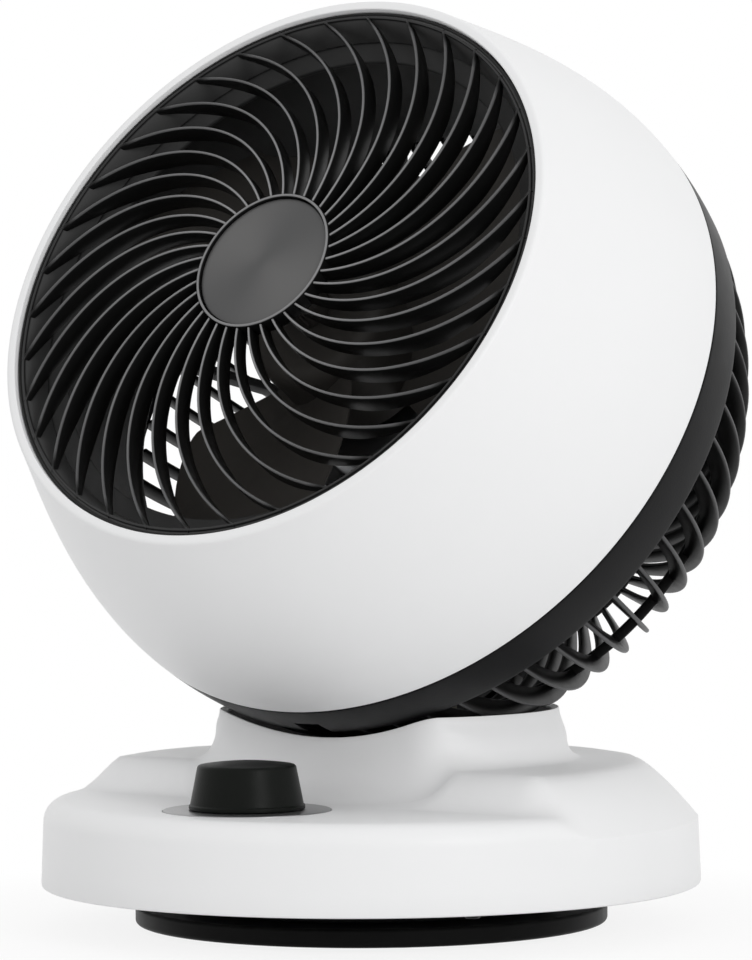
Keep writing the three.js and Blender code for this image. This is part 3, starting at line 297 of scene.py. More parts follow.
finishes = {
    "grille": grilleFinish("grilleBlack", grilleLook, grilleLook["dark"]),
    "ring": grilleFinish("ringBlack", grilleLook, grilleLook["funnel"]),
    "guard": guardFinish(guardLook),
    "white": moulded("whiteShell", (0.86, 0.862, 0.868), (0.88, 0.882, 0.886), 0.42, fineGrain, 0.3),
    "wheel": moulded("wheelBlack", (0.046, 0.043, 0.040), (0.070, 0.065, 0.060), 0.45, fineGrain, 0.15),
    "duct": moulded("ductBlack", grey(0.036), grey(0.050), 0.5, softGrain, 0.15),
    "foot": moulded("footBlack", grey(0.003), grey(0.006), 0.4, fineGrain, 0.06),
    "rubber": moulded("rubberBlack", grey(0.014), grey(0.026), 0.85, softGrain, 0.3),
    "knob": moulded("knobBlack", (0.003, 0.004, 0.003), (0.005, 0.006, 0.005), 0.4, softGrain, 0.1),
    "liner": moulded("linerBlack", grey(0.006), grey(0.010), 0.6, softGrain, 0.3),
    "nylon": moulded("nylonIvory", (0.72, 0.69, 0.60), (0.79, 0.76, 0.68), 0.45, softGrain),
    "capacitor": moulded("capacitorShell", (0.66, 0.64, 0.57), (0.72, 0.70, 0.63), 0.5, softGrain),
    "switch": moulded("switchBody", (0.014, 0.016, 0.02), (0.024, 0.026, 0.03), 0.5, softGrain),
}


# The disc in the middle of the grille: satin grey, with a painted sheen in its colour, lighter along one
# diameter like light off a spun disc
def badgeFinish(settings):
    finish = Finish("badgeGrey", settings["light"], settings["roughness"], metallic=settings["metallic"])
    offset = finish.fromBall()
    along, across = [finish.vectorMath("DOT_PRODUCT", offset, way) ** 2.0 for way in settings["ways"]]
    # painted sheen: the colour is lighter near the diameter along the first way
    paintedSheen = along / (along + across + settings["middle"] ** 2)
    share = paintedSheen * 0.8 + finish.noise(60, 4) * 0.2
    finish.colour(share, settings["dark"], settings["light"])
    finish.rough(settings["roughness"], 0.12, 900)
    finish.bump(finish.noise(3200, 3), 0.00001)
    return finish.material


finishes["badge"] = badgeFinish({
    "dark": (0.054, 0.054, 0.055),
    "light": (0.104, 0.103, 0.102),
    "roughness": 0.38,
    "metallic": 0.25,
    "ways": ((0.82, -0.283, -0.498), (0.573, 0.405, 0.713)),
    "middle": 0.004,
})


# Turned metal: the marks run round the piece's own axis
def turnedMetal(name, colour, roughness, centre, rings):
    finish = Finish(name, colour, roughness, metallic=1)
    centred = finish.node("ShaderNodeMapping", sockets={"Vector": finish.place, "Location": centre})
    x, y, z = finish.split(centred)
    reach = (x ** 2 + y ** 2) ** 0.5
    marks = finish.noise(rings, 3, finish.vector(reach, 0.0, z * 0.2))
    finish.set("Roughness", roughness + 0.16 * (marks - 0.5))
    finish.colour(marks, [part * 0.86 for part in colour], colour)
    finish.bump(marks, 0.000012)
    return finish.material


def castMetal(name, colour, roughness, grain):
    finish = Finish(name, colour, roughness, metallic=1)
    finish.colour(finish.noise(130, 3.0), [part * 0.8 for part in colour], colour)
    finish.rough(roughness, 0.16, 420)
    finish.bump(finish.noise(grain, 3), 0.00005)
    return finish.material


# Sheets or turns that follow each other along the fan's axis
def layered(name, colour, roughness, pitch):
    finish = Finish(name, colour, roughness, metallic=1)
    along = finish.vectorMath("DOT_PRODUCT", finish.place, fanAxis)
    wave = finish.calculate("SINE", along * (2 * math.pi / pitch)) * 0.5 + 0.5
    finish.colour(wave, [part * 0.45 for part in colour], colour)
    finish.set("Roughness", roughness + 0.2 * (1 - wave))
    finish.bump(wave, 0.0002)
    return finish.material


def boardFinish():
    finish = Finish("boardGreen", (0.02, 0.11, 0.05), 0.5)
    tracks = finish.calculate("GREATER_THAN", finish.noise(240, 0), 0.54)
    finish.colour(tracks, (0.012, 0.08, 0.035), (0.03, 0.17, 0.07))
    finish.set("Roughness", 0.5 - 0.15 * tracks)
    finish.bump(tracks, 0.00004)
    return finish.material


knobAxis = sum(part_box("speed_knob"), Vector()) / 2
knobAcross = Matrix.Translation((0, knobAxis.y * 1000, 0))
finishes["dial"] = turnedMetal("dialMetal", (0.36, 0.36, 0.365), 0.34, (0, -knobAxis.y, 0), 5200)
finishes["steel"] = castMetal("zincSteel", (0.55, 0.56, 0.57), 0.34, 1400)
finishes["blackSteel"] = castMetal("blackSteel", grey(0.018), 0.45, 1400)
finishes["motor"] = castMetal("motorMetal", (0.36, 0.365, 0.375), 0.5, 900)
finishes["core"] = layered("coreSteel", (0.24, 0.245, 0.25), 0.5, 0.0009)
finishes["copper"] = layered("copperWire", (0.62, 0.27, 0.12), 0.32, 0.0006)
finishes["board"] = boardFinish()
print("finishes made")


# An outline with rounded corners, from the x, y and radius of each
def softOutline(corners, closed=True, steps=4):
    points = []
    count = len(corners)
    for n, (x, y, radius) in enumerate(corners):
        here = Vector((x, y))
        if radius <= 0 or (not closed and n in (0, count - 1)):
            points.append((x, y))
            continue
        before = Vector(corners[n - 1][:2]) - here
        after = Vector(corners[(n + 1) % count][:2]) - here
        angle = before.angle(after)
        reach = min(radius / math.tan(angle / 2), before.length * 0.48, after.length * 0.48)
        start = here + before.normalized() * reach
        end = here + after.normalized() * reach
        weight = math.sin(angle / 2)  # of the middle point, which makes the curve a circle's arc
        for step in range(steps + 1):
            t = step / steps
            a, b, c = (1 - t) ** 2, 2 * t * (1 - t) * weight, t ** 2
            point = (start * a + here * b + end * c) / (a + b + c)
            points.append((point.x, point.y))
    return points


# Turns an outline into a form, which is a pair of corners and faces in millimetres
def lathe(outline, segments):
    corners, rings, faces = [], [], []
    for radius, height in outline:
        first = len(corners)
        if radius < 1e-6:
            corners.append((0, 0, height))
            rings.append([first])
            continue
        for n in range(segments):
            angle = 2 * math.pi * n / segments
            corners.append((radius * math.cos(angle), radius * math.sin(angle), height))
        rings.append(list(range(first, first + segments)))
    follow = rings[1:] if len(rings[0]) == 1 else rings[1:] + rings[:1]
    for one, other in zip(rings, follow):
        for n in range(segments):
            m = (n + 1) % segments
            loop = [one[n % len(one)], one[m % len(one)], other[m % len(other)], other[n % len(other)]]
            faces.append(list(dict.fromkeys(loop)))
    return corners, [face for face in faces if len(face) > 2]


def turnedForm(corners, segments, closed=True, steps=4):
    return lathe(softOutline(corners, closed, steps), segments)


# A plain round bar, mostly to cut with
def bar(radius, bottom, top, segments):
    return lathe([(0, bottom), (radius, bottom), (radius, top), (0, top)], segments)


# A skin over closed rings of equally many points, capped or closed on itself
def skin(rings, closed=False):
    count = len(rings[0])
    corners = [tuple(point) for ring in rings for point in ring]
    faces = []
    for n in range(len(rings) if closed else len(rings) - 1):
        here, there = n * count, (n + 1) % len(rings) * count
        for i in range(count):
            j = (i + 1) % count
            faces.append([here + i, here + j, there + j, there + i])
    if not closed:
        last = (len(rings) - 1) * count
        for i in range(count // 2 - 1):
            a, b, c, d = i, i + 1, count - 2 - i, count - 1 - i
            faces.append([a, d, c, b])
            faces.append([last + a, last + b, last + c, last + d])
    return corners, faces


def turnedBy(angle):
    return Matrix.Rotation(math.radians(angle), 4, "Z")


# Moves a form out to a place on a circle, without turning it
def setOut(radius, angle):
    return Matrix.Translation((radius * math.cos(angle), radius * math.sin(angle), 0))


def moved(form, matrix):
    return [tuple(matrix @ Vector(corner)) for corner in form[0]], form[1]


def together(*forms):
    corners, faces = [], []
    for formCorners, formFaces in forms:
        first = len(corners)
        corners += formCorners
        faces += [[first + n for n in face] for face in formFaces]
    return corners, faces


# For numbers and for values
def mix(low, high, share):
    return low + (high - low) * share


def smooth(value):
    t = min(1, max(0, value))
    return t * t * (3 - 2 * t)


def meshOf(name, form):
    mesh = bpy.data.meshes.new(name)
    mesh.from_pydata([Vector(corner) for corner in form[0]], [], form[1])
    work = bmesh.new()
    work.from_mesh(mesh)
    bmesh.ops.remove_doubles(work, verts=work.verts, dist=1e-4)
    bmesh.ops.recalc_face_normals(work, faces=work.faces)
    work.to_mesh(mesh)
    work.free()
    return mesh


def objectOf(name, data):
    made = bpy.data.objects.new(name, data)
    bpy.context.scene.collection.objects.link(made)
    return made


def solid(name, form):
    return objectOf(name, meshOf(name, form))


# What the modifiers make of an object, as a plain mesh, and the object without them
def settled(made):
    bpy.context.view_layer.update()
    seen = made.evaluated_get(bpy.context.evaluated_depsgraph_get())
    mesh = bpy.data.meshes.new_from_object(seen)
    made.modifiers.clear()
    made.data = mesh
    return made


def carve(made, *forms):
    tools = [solid("tool", form) for form in forms]
    for tool in tools:
        cut = made.modifiers.new("cut", "BOOLEAN")
        cut.operation = "DIFFERENCE"
        cut.solver = "EXACT"
        cut.object = tool
    settled(made)
    for tool in tools:
        bpy.data.objects.remove(tool)
    return made


# The corners and faces of an object in a new place, as a form, and the object is gone
def formOf(made, place):
    corners = [tuple(place @ corner.co) for corner in made.data.vertices]
    faces = [list(face.vertices) for face in made.data.polygons]
    bpy.data.objects.remove(made)
    return corners, faces


# Puts a finished mesh in its place in the row frame and hangs it on its body
def deliver(made, place, finish, body, stands, sharp=38):
    made.data.transform(place)
    made.data.materials.clear()
    made.data.materials.append(finishes[finish])
    made.data.shade_smooth()
    made.data.set_sharp_from_angle(angle=math.radians(sharp))
    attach(made, body)
    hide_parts(*stands)


def piece(name, form, place, finish, body, stands, sharp=38):
    deliver(solid(name, form), place, finish, body, stands, sharp)


# What repeats is grown by node trees with named sizes
def nodeTree(name, sizes):
    tree = bpy.data.node_groups.new(name, "GeometryNodeTree")
    tree.interface.new_socket("Geometry", in_out="INPUT", socket_type="NodeSocketGeometry")
    for title, start in sizes.items():
        kind = "NodeSocketInt" if isinstance(start, int) else "NodeSocketFloat"
        tree.interface.new_socket(title, in_out="INPUT", socket_type=kind).default_value = start
    tree.interface.new_socket("Finish", in_out="INPUT", socket_type="NodeSocketMaterial")
    tree.interface.new_socket("Geometry", in_out="OUTPUT", socket_type="NodeSocketGeometry")
    sheet = Sheet(tree)
    entry = tree.nodes.new("NodeGroupInput")
    return sheet, {out.name: Value(sheet, out) for out in entry.outputs if out.name}


def closeTree(sheet, geometry, finish):
    real = sheet.node("GeometryNodeRealizeInstances", sockets={"Geometry": geometry})
    dressed = sheet.node("GeometryNodeSetMaterial", sockets={"Geometry": real, "Material": finish})
    end = sheet.tree.nodes.new("NodeGroupOutput")
    sheet.feed(end.inputs[0], dressed)
    return sheet.tree


degree = math.pi / 180


# Copies round the axis, in pairs: the second of a pair stands "Within a pair" degrees after the first
def ringInstances(sheet, sizes, item):
    index = sheet.node("GeometryNodeInputIndex")
    pair = sheet.calculate("FLOOR", index / 2)
    turn = sizes["First angle"] + pair * sizes["From pair to pair"] + (index % 2) * sizes["Within a pair"]
    spots = {"Count": sizes["Count"], "Offset": (0, 0, 0)}
    line = sheet.node("GeometryNodeMeshLine", {"mode": "OFFSET"}, spots)
    sockets = {"Points": line, "Instance": item, "Rotation": sheet.vector(0.0, 0.0, turn * degree)}
    return sheet.node("GeometryNodeInstanceOnPoints", sockets=sockets)


ringSizes = {"Count": 3, "First angle": 0.0, "From pair to pair": 240.0, "Within a pair": 120.0}


def ringTree():
    sheet, sizes = nodeTree("ringOfCopies", ringSizes)
    return closeTree(sheet, ringInstances(sheet, sizes, sizes["Geometry"]), sizes["Finish"])


# A bar with a round nose and tail, from a cylinder: its section's corners by its stretches.
# Gives its place along (0 to 1), and its offsets across and in depth in half thicknesses.
def barSection(sheet, sizes):
    cylinder = sheet.node("GeometryNodeMeshCylinder", {"fill_type": "NGON"}, {
        "Vertices": sizes["Section corners"],
        "Side Segments": sizes["Stretches"],
        "Radius": 1.0,
        "Depth": 1.0,
    })
    x, y, z = sheet.split(sheet.node("GeometryNodeInputPosition"))
    return cylinder, z + 0.5, x, y


def barRise(sheet, deep, half, halfDepth):
    return deep * half + sheet.calculate("SIGN", deep) * (halfDepth - half)


def bent(sheet, sizes, item, place):
    made = sheet.node("GeometryNodeSetPosition", sockets={"Geometry": item, "Position": place})
    return closeTree(sheet, ringInstances(sheet, sizes, made), sizes["Finish"])


def swirlRibTree():
    sheet, sizes = nodeTree("swirlRibs", {
        **ringSizes,
        "Section corners": 12,
        "Stretches": 40,
        "Inner radius": 27.0,
        "Outer radius": 105.0,
        "Thickness": 1.8,
        "Front at the hub": 86.4,
        "Front at the rim": 82.2,
        "Depth at the hub": 6.5,
        "Depth at the rim": 10.2,
        "Taper start": 0.68,
        "Rim taper": 0.74,
        "Nose narrowing": 0.3,
        "Swirl start radius": 27.4,
        "Swirl": 0.46,
        "Swirl growth": 0.0016,
    })
    cylinder, share, across, deep = barSection(sheet, sizes)
    radius = mix(sizes["Inner radius"], sizes["Outer radius"], share)
    out = radius - sizes["Swirl start radius"]
    angle = (sizes["Swirl"] * out + sizes["Swirl growth"] * out ** 2) * degree
    rate = (sizes["Swirl"] + 2 * sizes["Swirl growth"] * out) * degree
    lean = angle + sheet.calculate("ARCTANGENT", radius * rate)
    last = sheet.calculate("MAXIMUM", share - sizes["Taper start"], 0.0) / (1 - sizes["Taper start"])
    depth = mix(sizes["Depth at the hub"], sizes["Depth at the rim"], share)
    halfDepth = 0.5 * depth * (1 - sizes["Rim taper"] * last ** 1.6)
    half = sizes["Thickness"] * 0.5
    rise = barRise(sheet, deep, half, halfDepth)
    side = across * half * (1 - sizes["Nose narrowing"] * (0.5 + 0.5 * rise / halfDepth))
    front = mix(sizes["Front at the hub"], sizes["Front at the rim"], share ** 2)
    place = sheet.vector(
        radius * sheet.calculate("COSINE", angle) - side * sheet.calculate("SINE", lean),
        radius * sheet.calculate("SINE", angle) + side * sheet.calculate("COSINE", lean),
        front - halfDepth + rise,
    )
    return bent(sheet, sizes, cylinder, place)


def guardFinTree():
    sheet, sizes = nodeTree("guardFins", {
        **ringSizes,
        "Section corners": 12,
        "Stretches": 28,
        "Outer radius": 132.6,
        "Depth": 8.0,
        "Thickness": 2.0,
        "From the pole, band end": 78.0,
        "From the pole, hub end": 21.0,
    })
    cylinder, share, across, deep = barSection(sheet, sizes)
    angle = mix(sizes["From the pole, band end"], sizes["From the pole, hub end"], share) * degree
    half = sizes["Thickness"] * 0.5
    halfDepth = sizes["Depth"] * 0.5
    rise = barRise(sheet, deep, half, halfDepth)
    radius = sizes["Outer radius"] - halfDepth + rise
    place = sheet.vector(
        radius * sheet.calculate("SINE", angle),
        across * half,
        0 - radius * sheet.calculate("COSINE", angle),
    )
    return bent(sheet, sizes, cylinder, place)


def grown(name, tree, values, finish, form=None):
    mesh = meshOf(name, form) if form else bpy.data.meshes.new(name)
    made = objectOf(name, mesh)
    modifier = made.modifiers.new("grow", "NODES")
    modifier.node_group = tree
    sockets = {item.name: item.identifier for item in tree.interface.items_tree if item.in_out == "INPUT"}
    for title, value in values.items():
        modifier[sockets[title]] = value
    modifier[sockets["Finish"]] = finishes[finish]
    made.update_tag()
    return settled(made)


def evenRing(count, first=0.0):
    step = 360 / count
    return {"Count": count, "First angle": first, "From pair to pair": 2 * step, "Within a pair": step}


copiesTree = ringTree()
ribTree = swirlRibTree()
finTree = guardFinTree()
print("trees made")

# Sizes that more than one piece uses
headSizes = {
    "ball": 133.0,
    "shellRear": -4.6,
    "shellFront": 81.5,
    "bend": 1.27,
    "bendFall": 0.0062,
    "mouthFront": 83.3,
    "mouthRadius": 108.2,
    "wall": 2.6,
    "gap": 0.3,
}


# The shell is a ball behind its widest place and bends in faster in front of it
def shellRadius(along):
    bend = headSizes["bend"] - headSizes["bendFall"] * along if along > 0 else 1
    return math.sqrt(headSizes["ball"] ** 2 - bend * along ** 2)


def onBall(radius, offRearPole):
    angle = math.radians(offRearPole)
    return radius * math.sin(angle), -radius * math.cos(angle)


# Degrees off the rear pole, of a place along the fan's axis and of a radius about it
def offPole(along):
    return math.degrees(math.acos(-along / headSizes["ball"]))


def offPoleOfRadius(radius):
    return math.degrees(math.asin(radius / headSizes["ball"]))


def frontShell():
    rear, front, wall = headSizes["shellRear"], headSizes["shellFront"], headSizes["wall"]
    mouth, mouthFront = headSizes["mouthRadius"], headSizes["mouthFront"]
    lipBack = mouthFront - 7
    outline = []
    steps = 36
    for n in range(steps + 1):
        along = mix(rear, front - 0.6, n / steps)
        outline.append((shellRadius(along), along, 0.35 if n == 0 else 0))
    lipOuter = shellRadius(front)
    outline += [(lipOuter - 0.5, mouthFront, 1.5), (mouth + 0.15, mouthFront, 0.55), (mouth, lipBack, 0.3)]
    for n in range(steps // 2 + 1):
        along = mix(lipBack, rear, n / (steps // 2))
        outline.append((shellRadius(along) - wall, along, 0))
    form = turnedForm(outline, 240)
    piece("frontShell", form, headPlace, "white", "head", ["front_shell"], 30)


grilleSettings = {
    "ribs": 35,
    "hubRadius": 27.4,
    "hubFront": 87.0,
    "badgeRadius": 26.0,
    "badgeTop": 85.8,
    "ringFront": 82.1,
    "ringRear": 71.0,
}


def frontGrille(settings):
    outer = headSizes["mouthRadius"] - headSizes["gap"]
    front, rear = settings["ringFront"], settings["ringRear"]
    ring = turnedForm([
        (outer, rear, 0.3), (outer, front - 0.5, 0.45), (outer - 0.9, front - 0.5, 0.25),
        (outer - 1.15, front - 1.2, 0.2), (outer - 1.7, front - 1.2, 0.2), (outer - 1.95, front, 0.3),
        (outer - 2.8, front, 0.4), (outer - 3.0, front - 0.8, 0.2), (outer - 6.2, rear, 0.3),
    ], 240)
    hub, top = settings["hubRadius"], settings["hubFront"]
    pocket = settings["badgeRadius"] + headSizes["gap"] + 0.15
    disc = turnedForm([
        (0, top - 8, 0), (hub - 1, top - 8, 0.8), (hub, top - 6.5, 0.8), (hub, top, 0.45),
        (pocket, top, 0.25), (pocket, top - 2.9, 0.1), (0, top - 2.9, 0),
    ], 160, closed=False)
    piece("grilleFrame", together(ring, disc), headPlace, "ring", "head", ["front_grille"])
    ribs = grown("grilleRibs", ribTree, {
        **evenRing(settings["ribs"]),
        "Nose narrowing": 0.45,
        "Outer radius": outer - 2.0,
        "Front at the rim": front + 0.15,
    }, "grille")
    deliver(ribs, headPlace, "grille", "head", ["front_grille"], 50)


def badgeDisc(settings):
    radius, top = settings["badgeRadius"], settings["badgeTop"]
    outline = [(0, top - 1.4, 0), (radius, top - 1.4, 0.15), (radius, top - 0.1, 0.4)]
    for share in (0.95, 0.85, 0.7, 0.5, 0.25, 0):
        outline.append((radius * share, top + 0.5 * (1 - share ** 2), 0))
    form = turnedForm(outline, 160, closed=False)
    piece("badgeDisc", form, headPlace, "badge", "head", ["badge_disc"])


# The duct carries the motor on its spokes
ductSettings = {
    "radius": 103.99,
    "wall": 2.4,
    "rear": 4.5,
    "throat": 94.5,
    "carrierRear": -27.0,
    "spokes": 5,
    "spokePhase": 104.0,
    "seatInner": 36.4,
    "seatOuter": 45.0,
}


def airDuct(settings):
    inner = settings["radius"]
    outer = inner + settings["wall"]
    rear = settings["rear"]
    collar = headSizes["mouthRadius"] + 0.1
    tunnel = turnedForm([
        (inner, rear, 0.6), (outer, rear, 0.6), (outer, 68.2, 0.6), (collar + 3, 68.2, 0.4),
        (collar + 3, 76.0, 0.4), (collar, 76.0, 0.3), (collar, 70.7, 0.1), (inner, 70.7, 0.6),
        (settings["throat"], 69.2, 0.9), (settings["throat"], 67.2, 0.9), (inner, 67.2, 1.5),
    ], 240)
    seatRear = settings["carrierRear"]
    seat = turnedForm([
        (settings["seatInner"], seatRear, 0.5), (settings["seatOuter"], seatRear, 0.5),
        (settings["seatOuter"], seatRear + 9, 0.5), (settings["seatInner"], seatRear + 9, 0.5),
    ], 120)
    spokes = []
    section = softOutline([(-1.6, 0, 0.8), (1.6, 0, 0.8), (1.6, 8, 0.6), (-1.6, 8, 0.6)])
    for n in range(settings["spokes"]):
        rings = []
        for step in range(9):
            share = step / 8
            reach = mix(settings["seatOuter"] - 2, inner + 1.2, share)
            bottom = mix(seatRear, rear + 1, share)
            flare = 1 + 0.9 * (2 * share - 1) ** 8
            rings.append([(reach, flare * x, bottom + z) for x, z in section])
        turn = settings["spokePhase"] + 360 * n / settings["spokes"]
        spokes.append(moved(skin(rings), turnedBy(turn)))
    form = together(tunnel, seat, *spokes)
    piece("airDuct", form, headPlace, "duct", "head", ["air_duct"])


motorSettings = {"radius": 35.5, "flange": 43.4, "joint": -17.85, "front": 4.3, "rear": -60.0}


def motorCases(settings):
    radius, joint = settings["radius"], settings["joint"]
    back = joint + 0.15
    front, rear = settings["front"], settings["rear"]
    frontCase = turnedForm([
        (radius - 2, back, 0.2), (settings["flange"], back, 0.5), (settings["flange"], back + 3, 0.6),
        (radius, back + 3, 1.2), (radius, front, 3), (14, front, 1), (13, front + 0.8, 0.5),
        (5, front + 0.8, 0.4), (5, front - 2, 0.3), (radius - 2, front - 2, 1),
    ], 96)
    piece("motorFrontCase", frontCase, headPlace, "motor", "head", ["motor_front_case"])
    back = joint - 0.15
    corners = [(0, rear, 0), (12, rear, 0.6), (13.5, rear + 1.2, 0.6), (26, rear + 1.2, 0.8)]
    corners.append((radius - 0.6, rear + 2, 3.2))
    for n in range(6):  # shallow cooling grooves round the case
        start = rear + 9 + 5 * n
        for depth, along in ((0, 0), (0.7, 0.7), (0.7, 1.8), (0, 2.5)):
            corners.append((radius - depth, start + along, 0.3))
    corners += [(radius, back, 0.4), (radius - 2, back, 0.2), (radius - 2, rear + 4, 1), (0, rear + 4, 0)]
    rearCase = turnedForm(corners, 96, closed=False)
    piece("motorRearCase", rearCase, headPlace, "motor", "head", ["motor_rear_case"])


wheelSettings = {
    "blades": 3,
    "tip": 99.99,
    "hub": 29.0,
    "hubRear": 13.0,
    "hubFront": 52.0,
    "front": 60.0,
    "rear": 16.0,
    "spread": 110.0,
    "taper": 27.0,
    "cornerCut": 44.0,
    "cornerFrom": 0.6,
    "phase": 84.0,
    "thickness": 2.0,
}


def bladeForm(settings):
    stations, across = 40, 30
    rings = []
    for n in range(stations + 1):
        share = n / stations
        radius = mix(settings["hub"] - 2, settings["tip"], share)
        spread = settings["spread"] - settings["taper"] * share
        corner = smooth((share - settings["cornerFrom"]) / (1 - settings["cornerFrom"]))
        start = settings["cornerCut"] * corner / spread
        rise = (settings["front"] - settings["rear"]) * mix(0.62, 1, math.sin(math.pi * 0.5 * share))
        middle = (settings["hubFront"] + settings["hubRear"]) / 2 + 4 * share
        face, back = [], []
        for m in range(across + 1):
            t = mix(start, 1, m / across)
            angle = math.radians(spread * t)
            bow = 0.5 - 0.5 * math.cos(math.pi * t)
            z = middle + rise * (0.5 * (t + bow) - 0.5) * 0.92
            edge = math.sin(math.pi * m / across)
            tip = 1 - 0.7 * max(0, share - 0.97) / 0.03
            half = settings["thickness"] / 2 * (0.3 + 0.7 * max(0, edge) ** 0.5) * tip
            at = (radius * math.cos(angle), radius * math.sin(angle))
            face.append((*at, z + half))
            back.append((*at, z - half))
        rings.append(face + back[::-1])
    return skin(rings)


def fanWheel(settings):
    hub, rear, front = settings["hub"], settings["hubRear"], settings["hubFront"]
    cup = turnedForm([
        (4.3, rear + 6, 0.4), (9.3, rear + 6, 0.4), (9.3, front - 4, 1), (hub - 2.5, front - 6, 2),
        (hub - 2.5, rear, 0.5), (hub, rear, 0.8), (hub, front, 6.5), (4.3, front, 0.6),
    ], 144, steps=8)
    ring = evenRing(settings["blades"], settings["phase"])
    blades = grown("wheelBlades", copiesTree, ring, "wheel", bladeForm(settings))
    deliver(blades, headPlace, "wheel", "wheel", ["fan_wheel"], 60)
    piece("wheelHub", cup, headPlace, "wheel", "wheel", ["fan_wheel"])
    nut = turnedForm([
        (0, front + 0.3, 0), (8, front + 0.3, 0.3), (8, front + 7.3, 0.8), (6.6, front + 9.6, 1.2),
        (0, front + 12.3, 0),
    ], 64, closed=False)
    flute = bar(1.1, front + 1.5, front + 14, 12)
    flutes = [moved(flute, setOut(8.6, 2 * math.pi * n / 10)) for n in range(10)]
    made = carve(solid("wheelNut", nut), together(*flutes))
    deliver(made, headPlace, "wheel", "wheel", ["wheel_nut"])


guardSettings = {
    "bandRear": -25.0,
    "fins": 60,
    "finPhase": 1.6,
    "finDepth": 8.0,
    "finInset": 0.4,
    "hubRadius": 48.0,
    "hubWidth": 8.0,
    "hoopAngle": 50.0,
    "hoopHeight": 4.0,
    "hoopWidth": 3.0,
    "beamHalf": 17.0,
    "beamOuter": 131.4,
    "beamInner": 128.4,
    "slotHalf": 5.5,
    "slotFrom": 83.18,  # degrees off the rear pole
    "slotTo": -11.18,
    "trackHalf": 12.5,
    "trackOuter": 128.1,
    "trackInner": 125.6,
    "capRadius": 45.0,
    "capThickness": 3.0,
    "lugInner": 114.5,
    "lugOuter": 131.7,
    "lugHalf": 4.5,
    "lugEnds": (-10.2, -5.2),
    "lugAngles": (45, 135, 225, 315),
}


# A strip bent round the tilt axis between two angles off the rear pole, with rounded long edges
def meridianStrip(halfWidth, inner, outer, start, end, edge=0.6):
    section = softOutline([
        (-halfWidth, inner, edge), (halfWidth, inner, edge), (halfWidth, outer, edge),
        (-halfWidth, outer, edge),
    ], steps=2)
    steps = max(4, int(abs(end - start) / 1.5))
    rings = []
    for n in range(steps + 1):
        angle = math.radians(mix(start, end, n / steps))
        rings.append([(x, -r * math.sin(angle), -r * math.cos(angle)) for x, r in section])
    return skin(rings)


def guardPiece(made, node, sharp=38):
    deliver(made, headPlace, "guard", "head", [node], sharp)


# An arc on a ball between two angles off the rear pole, its two ends rounded
def ballArc(radius, start, end, edge, steps=12):
    return [
        (*onBall(radius, mix(start, end, n / steps)), edge if n in (0, steps) else 0)
        for n in range(steps + 1)
    ]


def rearGuard(settings):
    ball, wall = headSizes["ball"], headSizes["wall"]
    bandFront = headSizes["shellRear"] - headSizes["gap"]
    start, end = offPole(bandFront), offPole(settings["bandRear"])
    band = ballArc(ball, start, end, 0.5) + ballArc(ball - wall, end, start, 0.5)
    under = ball - settings["finDepth"] - 0.5
    seat = ball - settings["capThickness"] - 0.6
    hubOuter = offPoleOfRadius(settings["hubRadius"])
    hubInner = offPoleOfRadius(settings["hubRadius"] - settings["hubWidth"])
    hub = [
        (*onBall(radius, off), 0.6)
        for radius, off in ((seat, hubOuter), (seat, hubInner), (under, hubInner), (under, hubOuter))
    ]
    hoopMiddle = ball - settings["finDepth"] + settings["hoopHeight"] / 2 - 1
    half = math.degrees(settings["hoopWidth"] / 2 / ball)
    hoop = [
        (*onBall(hoopMiddle + side * settings["hoopHeight"] / 2, settings["hoopAngle"] + turn * half), 0.9)
        for side, turn in ((1, 1), (1, -1), (-1, -1), (-1, 1))
    ]
    rings = [turnedForm(outline, 240) for outline in (band, hub, hoop)]
    inner, outer, side = settings["lugInner"], settings["lugOuter"], settings["lugHalf"]
    outline = softOutline([(inner, -side, 2.5), (outer, -side, 0.2), (outer, side, 0.2), (inner, side, 2.5)])
    lug = skin([[(x, y, z) for x, y in outline] for z in settings["lugEnds"]])
    lugs = [moved(lug, turnedBy(angle)) for angle in settings["lugAngles"]]
    guardPiece(solid("guardLugs", together(*lugs)), "rear_guard")
    slot = meridianStrip(settings["slotHalf"], 115, 145, settings["slotFrom"], settings["slotTo"], edge=0)
    guardPiece(carve(solid("guardRings", together(*rings)), slot), "rear_guard")
    fins = grown("guardFins", finTree, {
        **evenRing(settings["fins"], settings["finPhase"]),
        "Outer radius": ball - settings["finInset"],
        "Depth": settings["finDepth"] - settings["finInset"],
        "Thickness": 1.7,
        "From the pole, band end": offPole(settings["bandRear"]) + 1,
        "From the pole, hub end": hubOuter - 1,
    }, "guard")
    beamCut = [settings["beamHalf"] - 0.2, 90, 140, settings["slotFrom"] + 1.5, settings["slotTo"] - 2.5]
    guardPiece(carve(fins, meridianStrip(*beamCut, edge=0)), "rear_guard", 50)
    strips = (("tiltBeam", "beam", 3, "rear_guard"), ("tiltTrack", "track", 2, "tilt_track"))
    for name, kind, past, node in strips:
        sizes = [settings[kind + part] for part in ("Half", "Inner", "Outer")]
        strip = meridianStrip(*sizes, settings["slotFrom"] + 2, settings["slotTo"] - past)
        guardPiece(carve(solid(name, strip), slot), node)


def rearCap(settings):
    outer = headSizes["ball"] - 0.3
    inner = outer - settings["capThickness"]
    edge = offPoleOfRadius(settings["capRadius"])
    steps = 16
    outline = [(*onBall(outer, edge * n / steps), 0.7 if n == steps else 0) for n in range(steps + 1)]
    outline += [(*onBall(inner, edge * n / steps), 0.5 if n == steps else 0) for n in range(steps, -1, -1)]
    cap = solid("rearCap", turnedForm(outline, 160, closed=False))
    beamCut = meridianStrip(settings["beamHalf"] + 0.3, 110, 145, 40, settings["slotTo"] - 3.3, edge=0)
    guardPiece(carve(cap, beamCut), "rear_cap")


